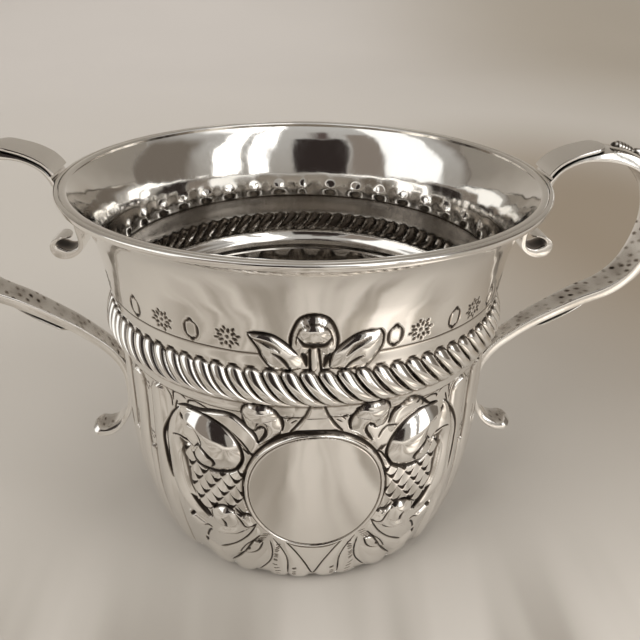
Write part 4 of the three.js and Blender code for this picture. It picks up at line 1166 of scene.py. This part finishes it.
# %% Sizes of the handles
RIM_RADIUS = 55.0
SEAT = 0.9               # half the strap and its gap to the wall
REACH, RISE, DROP = 29.3, 4.6, 56.0
NECK = float(wall_radius(80.5)) + SEAT
LOWER_SEAT = 45.46
CURL = (NECK + 6.3, HEIGHT - 17.6)
FOOT = [(0.05, -3.9), (0.85, -7.2), (2.45, -10.3), (4.75, -12.9), (7.35, -14.1), (9.5, -13.7), (10.9, -12.5)]
UPPER_LIMB = [(0.095, 0.32), (0.214, 0.76), (0.364, 0.97), (0.507, 1), (0.663, 0.76)]
OUTER_BEND = [(0.816, -0.014), (0.946, 0.075), (1, 0.196), (0.969, 0.315), (0.874, 0.428), (0.711, 0.51),
              (0.473, 0.57), (0.269, 0.629)]
LOWER_LIMB = [(0.408, 0.689), (0.286, 0.738), (0.16, 0.796), (0.065, 0.86), (0.01, 0.93), (0, 1)]


def round_wire(degrees):
    """A point of the arc that the strap takes round the rim wire's edge"""
    return on_arc((RIM_RADIUS - 0.32, HEIGHT - 1.08), 1.32, degrees)


# %% A line to follow
class Line:
    """A smooth line through points of the handle's plane, walked by its length"""

    def __init__(self, points, parts=30):
        p = np.array(points, float)
        p = np.vstack([2 * p[0] - p[1], p, 2 * p[-1] - p[-2]])
        made = []
        for i in range(1, len(p) - 2):
            knots = np.cumsum([0] + [np.linalg.norm(p[i + k] - p[i + k - 1]) ** 0.5 for k in (0, 1, 2)])
            for k in range(parts):
                t = knots[1] + (knots[2] - knots[1]) * k / parts
                level = [p[i - 1 + j] for j in range(4)]
                # Each round blends neighbours by where t lies between their knots, until one point is left
                for first, last in ((0, 1), (0, 2), (1, 2)):
                    level = [a + (b - a) * (t - low) / (high - low)
                             for a, b, low, high in zip(level, level[1:], knots[first:], knots[last:])]
                made.append(level[0])
        self.points = np.array(made + [p[-2]])
        steps = np.linalg.norm(np.diff(self.points, axis=0), axis=1)
        self.walked = np.concatenate([[0], np.cumsum(steps)])
        self.length = self.walked[-1]

    def at(self, share):
        """The point at a share of the length"""
        walk = np.asarray(share) * self.length
        return np.stack([np.interp(walk, self.walked, self.points[:, k]) for k in (0, 1)], -1)

    def frame(self, share):
        """The point, the direction and the direction of the back at a share of the length"""
        after, before = (self.at(np.clip(np.asarray(share) + step, 0, 1)) for step in (0.002, -0.002))
        ahead = (after - before) / np.linalg.norm(after - before, axis=-1, keepdims=True)
        return self.at(share), ahead, np.stack([-ahead[..., 1], ahead[..., 0]], -1)

    def nearest(self, place):
        """The share at which the line passes closest to a place"""
        shares = np.linspace(0, 1, 1201)
        return float(shares[np.argmin(np.linalg.norm(self.at(shares) - np.array(place), axis=1))])


# %% Line of the strap
ROLLED_END = [(-1.1, 2.1), (0.5, 2.5), (2.0, 2.0), (2.9, 0.75), (2.2, -0.8), (0.1, -1.55), (-2.0, -1.0),
              (-3.6, 0.45), (-3.85, 2.7), (-3.5, 5.5), (-3.2, 8.7), (-2.35, 12.3)]
strap_points = [(CURL[0] + out, CURL[1] + up) for out, up in ROLLED_END]
strap_points += [round_wire(-70), round_wire(-35), round_wire(0)]
strap_points += [(RIM_RADIUS + REACH * out, HEIGHT + RISE * up) for out, up in UPPER_LIMB]
strap_points += [(RIM_RADIUS + REACH * out, HEIGHT - DROP * down) for out, down in OUTER_BEND]
strap_points += [(LOWER_SEAT + REACH * out, HEIGHT - DROP * down) for out, down in LOWER_LIMB]
strap_points += [(LOWER_SEAT + out, HEIGHT - DROP + up) for out, up in FOOT]
STRAP_LINE = Line(strap_points)
LENGTH = STRAP_LINE.length
LIP_AT = STRAP_LINE.nearest((56.3, 89.1))
SWELL_AT = LIP_AT + 11.5 / LENGTH
print("strap length", round(LENGTH, 1), "mm; over the lip at", round(LIP_AT, 3))

# %% Strap section
ACROSS = 9               # a section's points across its inner face, and across its back
FACE = slice(ACROSS)
BACK_FACE = slice(ACROSS + 5, 2 * ACROSS + 5)


def section(width, thickness, dome=0.16, hollow=0.0, soft=0.24, bevel=0.0):
    """A strap's section as places across and outwards: flat or hollow inside, a little domed on its back.
    Bevel draws the inner face in at its edges, or the back where it is negative"""
    half, thin = width / 2, thickness / 2
    soft = min(soft, thin * 0.75, half * 0.6)
    inner, outer = (half - soft - max(lean, 0) * min(1, width / 4) for lean in (bevel, -bevel))
    shoulder = thin * (1 - dome)
    loop = [(x, -thin + hollow * (1 - (x / inner) ** 2)) for x in np.linspace(-inner, inner, ACROSS)]
    loop += [on_arc((inner, -thin + soft), soft, a) for a in (-60, -30, 0)]
    loop += [on_arc((outer, shoulder - soft * 0.6), soft * 0.98, a) for a in (15, 40)]
    loop += [(x, shoulder + (thin - shoulder) * (1 - abs(x / outer) ** 2.4))
             for x in np.linspace(outer * 0.93, -outer * 0.93, ACROSS)]
    loop += [on_arc((-outer, shoulder - soft * 0.6), soft * 0.98, a) for a in (140, 165)]
    loop += [on_arc((-inner, -thin + soft), soft, a) for a in (180, 210, 240)]
    return np.array(loop)


def swept(name, line, shares, sections, replaced, stains, lifts=0.0):
    """A strip of silver along a line, closed at both ends, and the left one turned half round the axis"""
    centre, _, back = line.frame(shares)
    loops = np.array(sections)
    place = centre[:, None] + back[:, None] * (loops[..., 1:] + np.reshape(lifts, (-1, 1, 1)))
    rings = np.stack([place[..., 0], loops[..., 0], place[..., 1]], -1)
    for end in (0, -1):
        rings[end] = rings[end].mean(0)
    places = np.concatenate([rings, rings[:, :1]], 1).transpose(1, 0, 2)
    stains = np.concatenate([stains, stains[:, :1]], 1).T
    for side, turned in (("right", 1), ("left", -1)):
        piece(f"{name}_{side}", places * (turned, turned, 1), f"{replaced}_{side}",
              STRAP_SILVER, stains)


def blank_stains(sections, face=0.0):
    """Darkening for each point of the sections: none, or some on the inner face, painted shade where it faces
    the strap
    """
    stains = np.zeros((len(sections), len(sections[0])))
    stains[:, FACE] = face
    return stains


# %% Straps
STRAP_WIDTHS = through([(0, 6.6), (0.05, 7.0), (LIP_AT * 0.75, 9.66), (LIP_AT, 10.5), (0.45, 10.2),
                        (0.62, 8.2), (0.74, 6.5), (0.86, 5.8), (0.92, 5.8), (0.97, 8.3), (1, 8.6)])
STRAP_THICKNESSES = through([
    (0, 0.5), (0.014, 0.6), (0.028, 1.3), (0.046, 2.7), (0.062, 2.0), (0.085, 1.3), (LIP_AT, 1.0),
    (SWELL_AT - 0.02, 1.05), (SWELL_AT + 0.03, 2.5), (0.5, 2.4), (0.72, 2.1), (0.84, 1.8), (0.93, 1.5),
    (0.97, 1.5), (1, 1.3)])
STRAP_BEVELS = through([(0, 0.1), (0.08, 0.15), (0.12, 0.0), (LIP_AT, 0.0), (SWELL_AT, -0.2),
                        (SWELL_AT + 0.05, -0.9), (0.42, -0.9), (0.52, 0.0), (0.6, 0.36), (0.88, 0.3),
                        (0.94, -0.4), (1, -0.5)])
TONGUE = 3.3             # length of the strap's round end

# Steps along the strap, which are finer at its ends
fine = np.linspace(0, 3.4 / LENGTH, 14)
shares = np.concatenate([fine[:-1], np.linspace(fine[-1], 1 - fine[-1], 210), 1 - fine[:-1][::-1]])
walk = shares * LENGTH
start, end = np.clip(walk / TONGUE, 0, 1), np.clip((LENGTH - walk) / (TONGUE * 0.8), 0, 1)
tongue = np.sqrt(1 - (1 - start) ** 2) * np.sqrt(1 - (1 - end) ** 2)
widths = STRAP_WIDTHS(shares) * np.maximum(tongue, 0.04)
thick = STRAP_THICKNESSES(shares)
hollow = 0.08 + 0.5 * np.clip(1 - shares / 0.05, 0, 1) + 0.3 * grows(shares, 0.95, 0.05)
domes = 0.16 - 0.55 * grows(shares, 0.935, 0.03)
sections = [section(w, t, d, min(h, t * 0.4), bevel=b)
            for w, t, d, h, b in zip(widths, thick, domes, hollow, STRAP_BEVELS(shares))]
# The inner face holds tarnish, a thin film and dark pits, and painted shade where the strap sits on the wall
# and inside both curls
across = np.linspace(0, np.pi, ACROSS)
face = np.sin(across) ** 0.4
far = walk[:, None]
at = shares[:, None]
film = 0.34 * (0.4 + 0.6 * (0.5 + 0.5 * np.sin(far * 0.37 + 1.1) * np.sin(far * 0.83))) * face
cuts = (np.sin(1.93 * far + 1.7 * np.sin(0.31 * far) + 3.1 * across) * np.sin(0.77 * far - 2.1 * across)
        + 0.55 * np.sin(5.1 * far + 4 * across) * np.sin(0.23 * far + 1))
cuts = np.clip(cuts - 0.72, 0, 1)
stains = blank_stains(sections)
stains[:, FACE] = (film + 1.8 * cuts * (at > 0.45) + 0.45 * swells(at, 0.905, 0.035) * face
                   + 0.8 * grows(at, 0.085, -0.02) * face)
stains[:, BACK_FACE] += grows(at, 0.945, 0.02) * face * (0.3 + 1.2 * cuts)
swept("double_scroll_strap", STRAP_LINE, shares, sections, "handle_strap", stains)

# %% [markdown]
# ## Saddle, rat-tail and spur
# A saddle strip lies on each strap next to the lip and ends in a low scroll. Behind it a rat-tail of
# leaves that grow smaller runs down the back. A thin spur springs from under the lower limb, and its tip
# is free. All three follow the strap's line at a small distance from it, so that they stay on the strap
# when its points are moved.

# %% Saddle
shares = np.linspace(LIP_AT, SWELL_AT + 0.9 / LENGTH, 9)
centre, ahead, back = STRAP_LINE.frame(shares)
points = list(centre + back * (STRAP_THICKNESSES(shares) / 2 + 0.66)[:, None])
points += [points[8] + ahead[-1] * forward + back[-1] * up for forward, up in ((0.7, 0.05), (1.3, 0.15))]
saddle_line = Line(points)
steps = np.linspace(0, 1, 60)
corner = np.clip((1 - steps) * saddle_line.length / 3.0, 0, 1)
widths = (10.1 - 1.6 * steps ** 3) * np.maximum(1 - (1 - corner) ** 2.6, 0.08) ** 0.5
sections = [section(w, 0.72, 0.1, 0.03, 0.16) for w in widths]
# The saddle's inner face is darkened: painted shade in the gap over the strap
swept("saddle_strip", saddle_line, steps, sections, "thumb_scroll", blank_stains(sections, 0.7))

# %% Rat-tail
LEAF_LENGTHS = np.array([4.8, 5.4, 4.2, 3.2, 2.2])
LEAF_WIDTHS = np.array([1.5, 1.4, 1.2, 1.0, 0.8])
LEAF_HEIGHTS = np.array([1.25, 1.4, 1.15, 0.95, 0.75])
TAIL_TIP = 5.0

# Each leaf laps over the next one, and the last runs out into a fine tip
tail_start = SWELL_AT + 4.05 / LENGTH
leaves = float(LEAF_LENGTHS.sum())
walk = np.linspace(0, leaves + TAIL_TIP, 240)
edges = np.concatenate([[0], np.cumsum(LEAF_LENGTHS)])
which = np.clip(np.searchsorted(edges, walk, side="right") - 1, 0, len(LEAF_LENGTHS) - 1)
v = np.clip((walk - edges[which]) / LEAF_LENGTHS[which], 0, 1)
bulge = np.clip(v / 0.22, 0, 1) ** 0.6 * (1 - 0.6 * grows(v, 0.22, 0.78) ** 1.6)
tip = grows(walk, leaves, TAIL_TIP)
wide = np.where(tip > 0, 0.6 * (1 - tip) + 0.05, LEAF_WIDTHS[which] * (0.5 + 0.5 * bulge))
high = np.where(tip > 0, 0.5 * (1 - tip) + 0.06, LEAF_HEIGHTS[which] * (0.3 + 0.7 * bulge))
shares = tail_start + walk / LENGTH
turn = np.linspace(0, math.tau, 18, endpoint=False)
sections = [np.stack([w * np.cos(turn), np.where(np.sin(turn) < 0, 0.12, h) * np.sin(turn)], -1)
            for w, h in zip(wide, high)]
# Darker at the start of each leaf, where the one before laps over it, along the hatching near the top and
# along the foot where the leaves meet the strap
pit = swells(v, 0, 0.09) * (tip == 0)
hatch = 0.75 * (walk < 4.4) * (np.sin(walk * 8.5) > 0.1)
foot = 0.8 * swells(np.sin(turn), -0.05, 0.25)
stains = np.clip((pit + hatch)[:, None] + foot[None], 0, 1) * 0.9
swept("rat_tail", STRAP_LINE, shares, sections, "bead_tail", stains, STRAP_THICKNESSES(shares) / 2 + 0.42)

# %% Spur
out, down = LOWER_LIMB[0]
seat = STRAP_LINE.nearest((LOWER_SEAT + REACH * out, HEIGHT - DROP * down))
along = np.linspace(0, 1, 70)
shares = seat - 17.0 * along / LENGTH
lifts = STRAP_THICKNESSES(shares) / 2 + 0.62 + 0.5 * along + 0.25 * np.clip(along - 0.8, 0, 1)
widths = 7.0 * np.maximum(1 - along ** 4, 0.03) ** 0.8 * np.clip(0.45 + along * 4, 0, 1)
sections = [section(w, 0.62 * (1 - 0.35 * a), 0.5, 0.0, 0.2) for w, a in zip(widths, along)]
# The spur's inner face is darkened: painted shade in the gap between it and the strap
swept("free_spur", STRAP_LINE, shares, sections, "spur", blank_stains(sections, 0.75), lifts)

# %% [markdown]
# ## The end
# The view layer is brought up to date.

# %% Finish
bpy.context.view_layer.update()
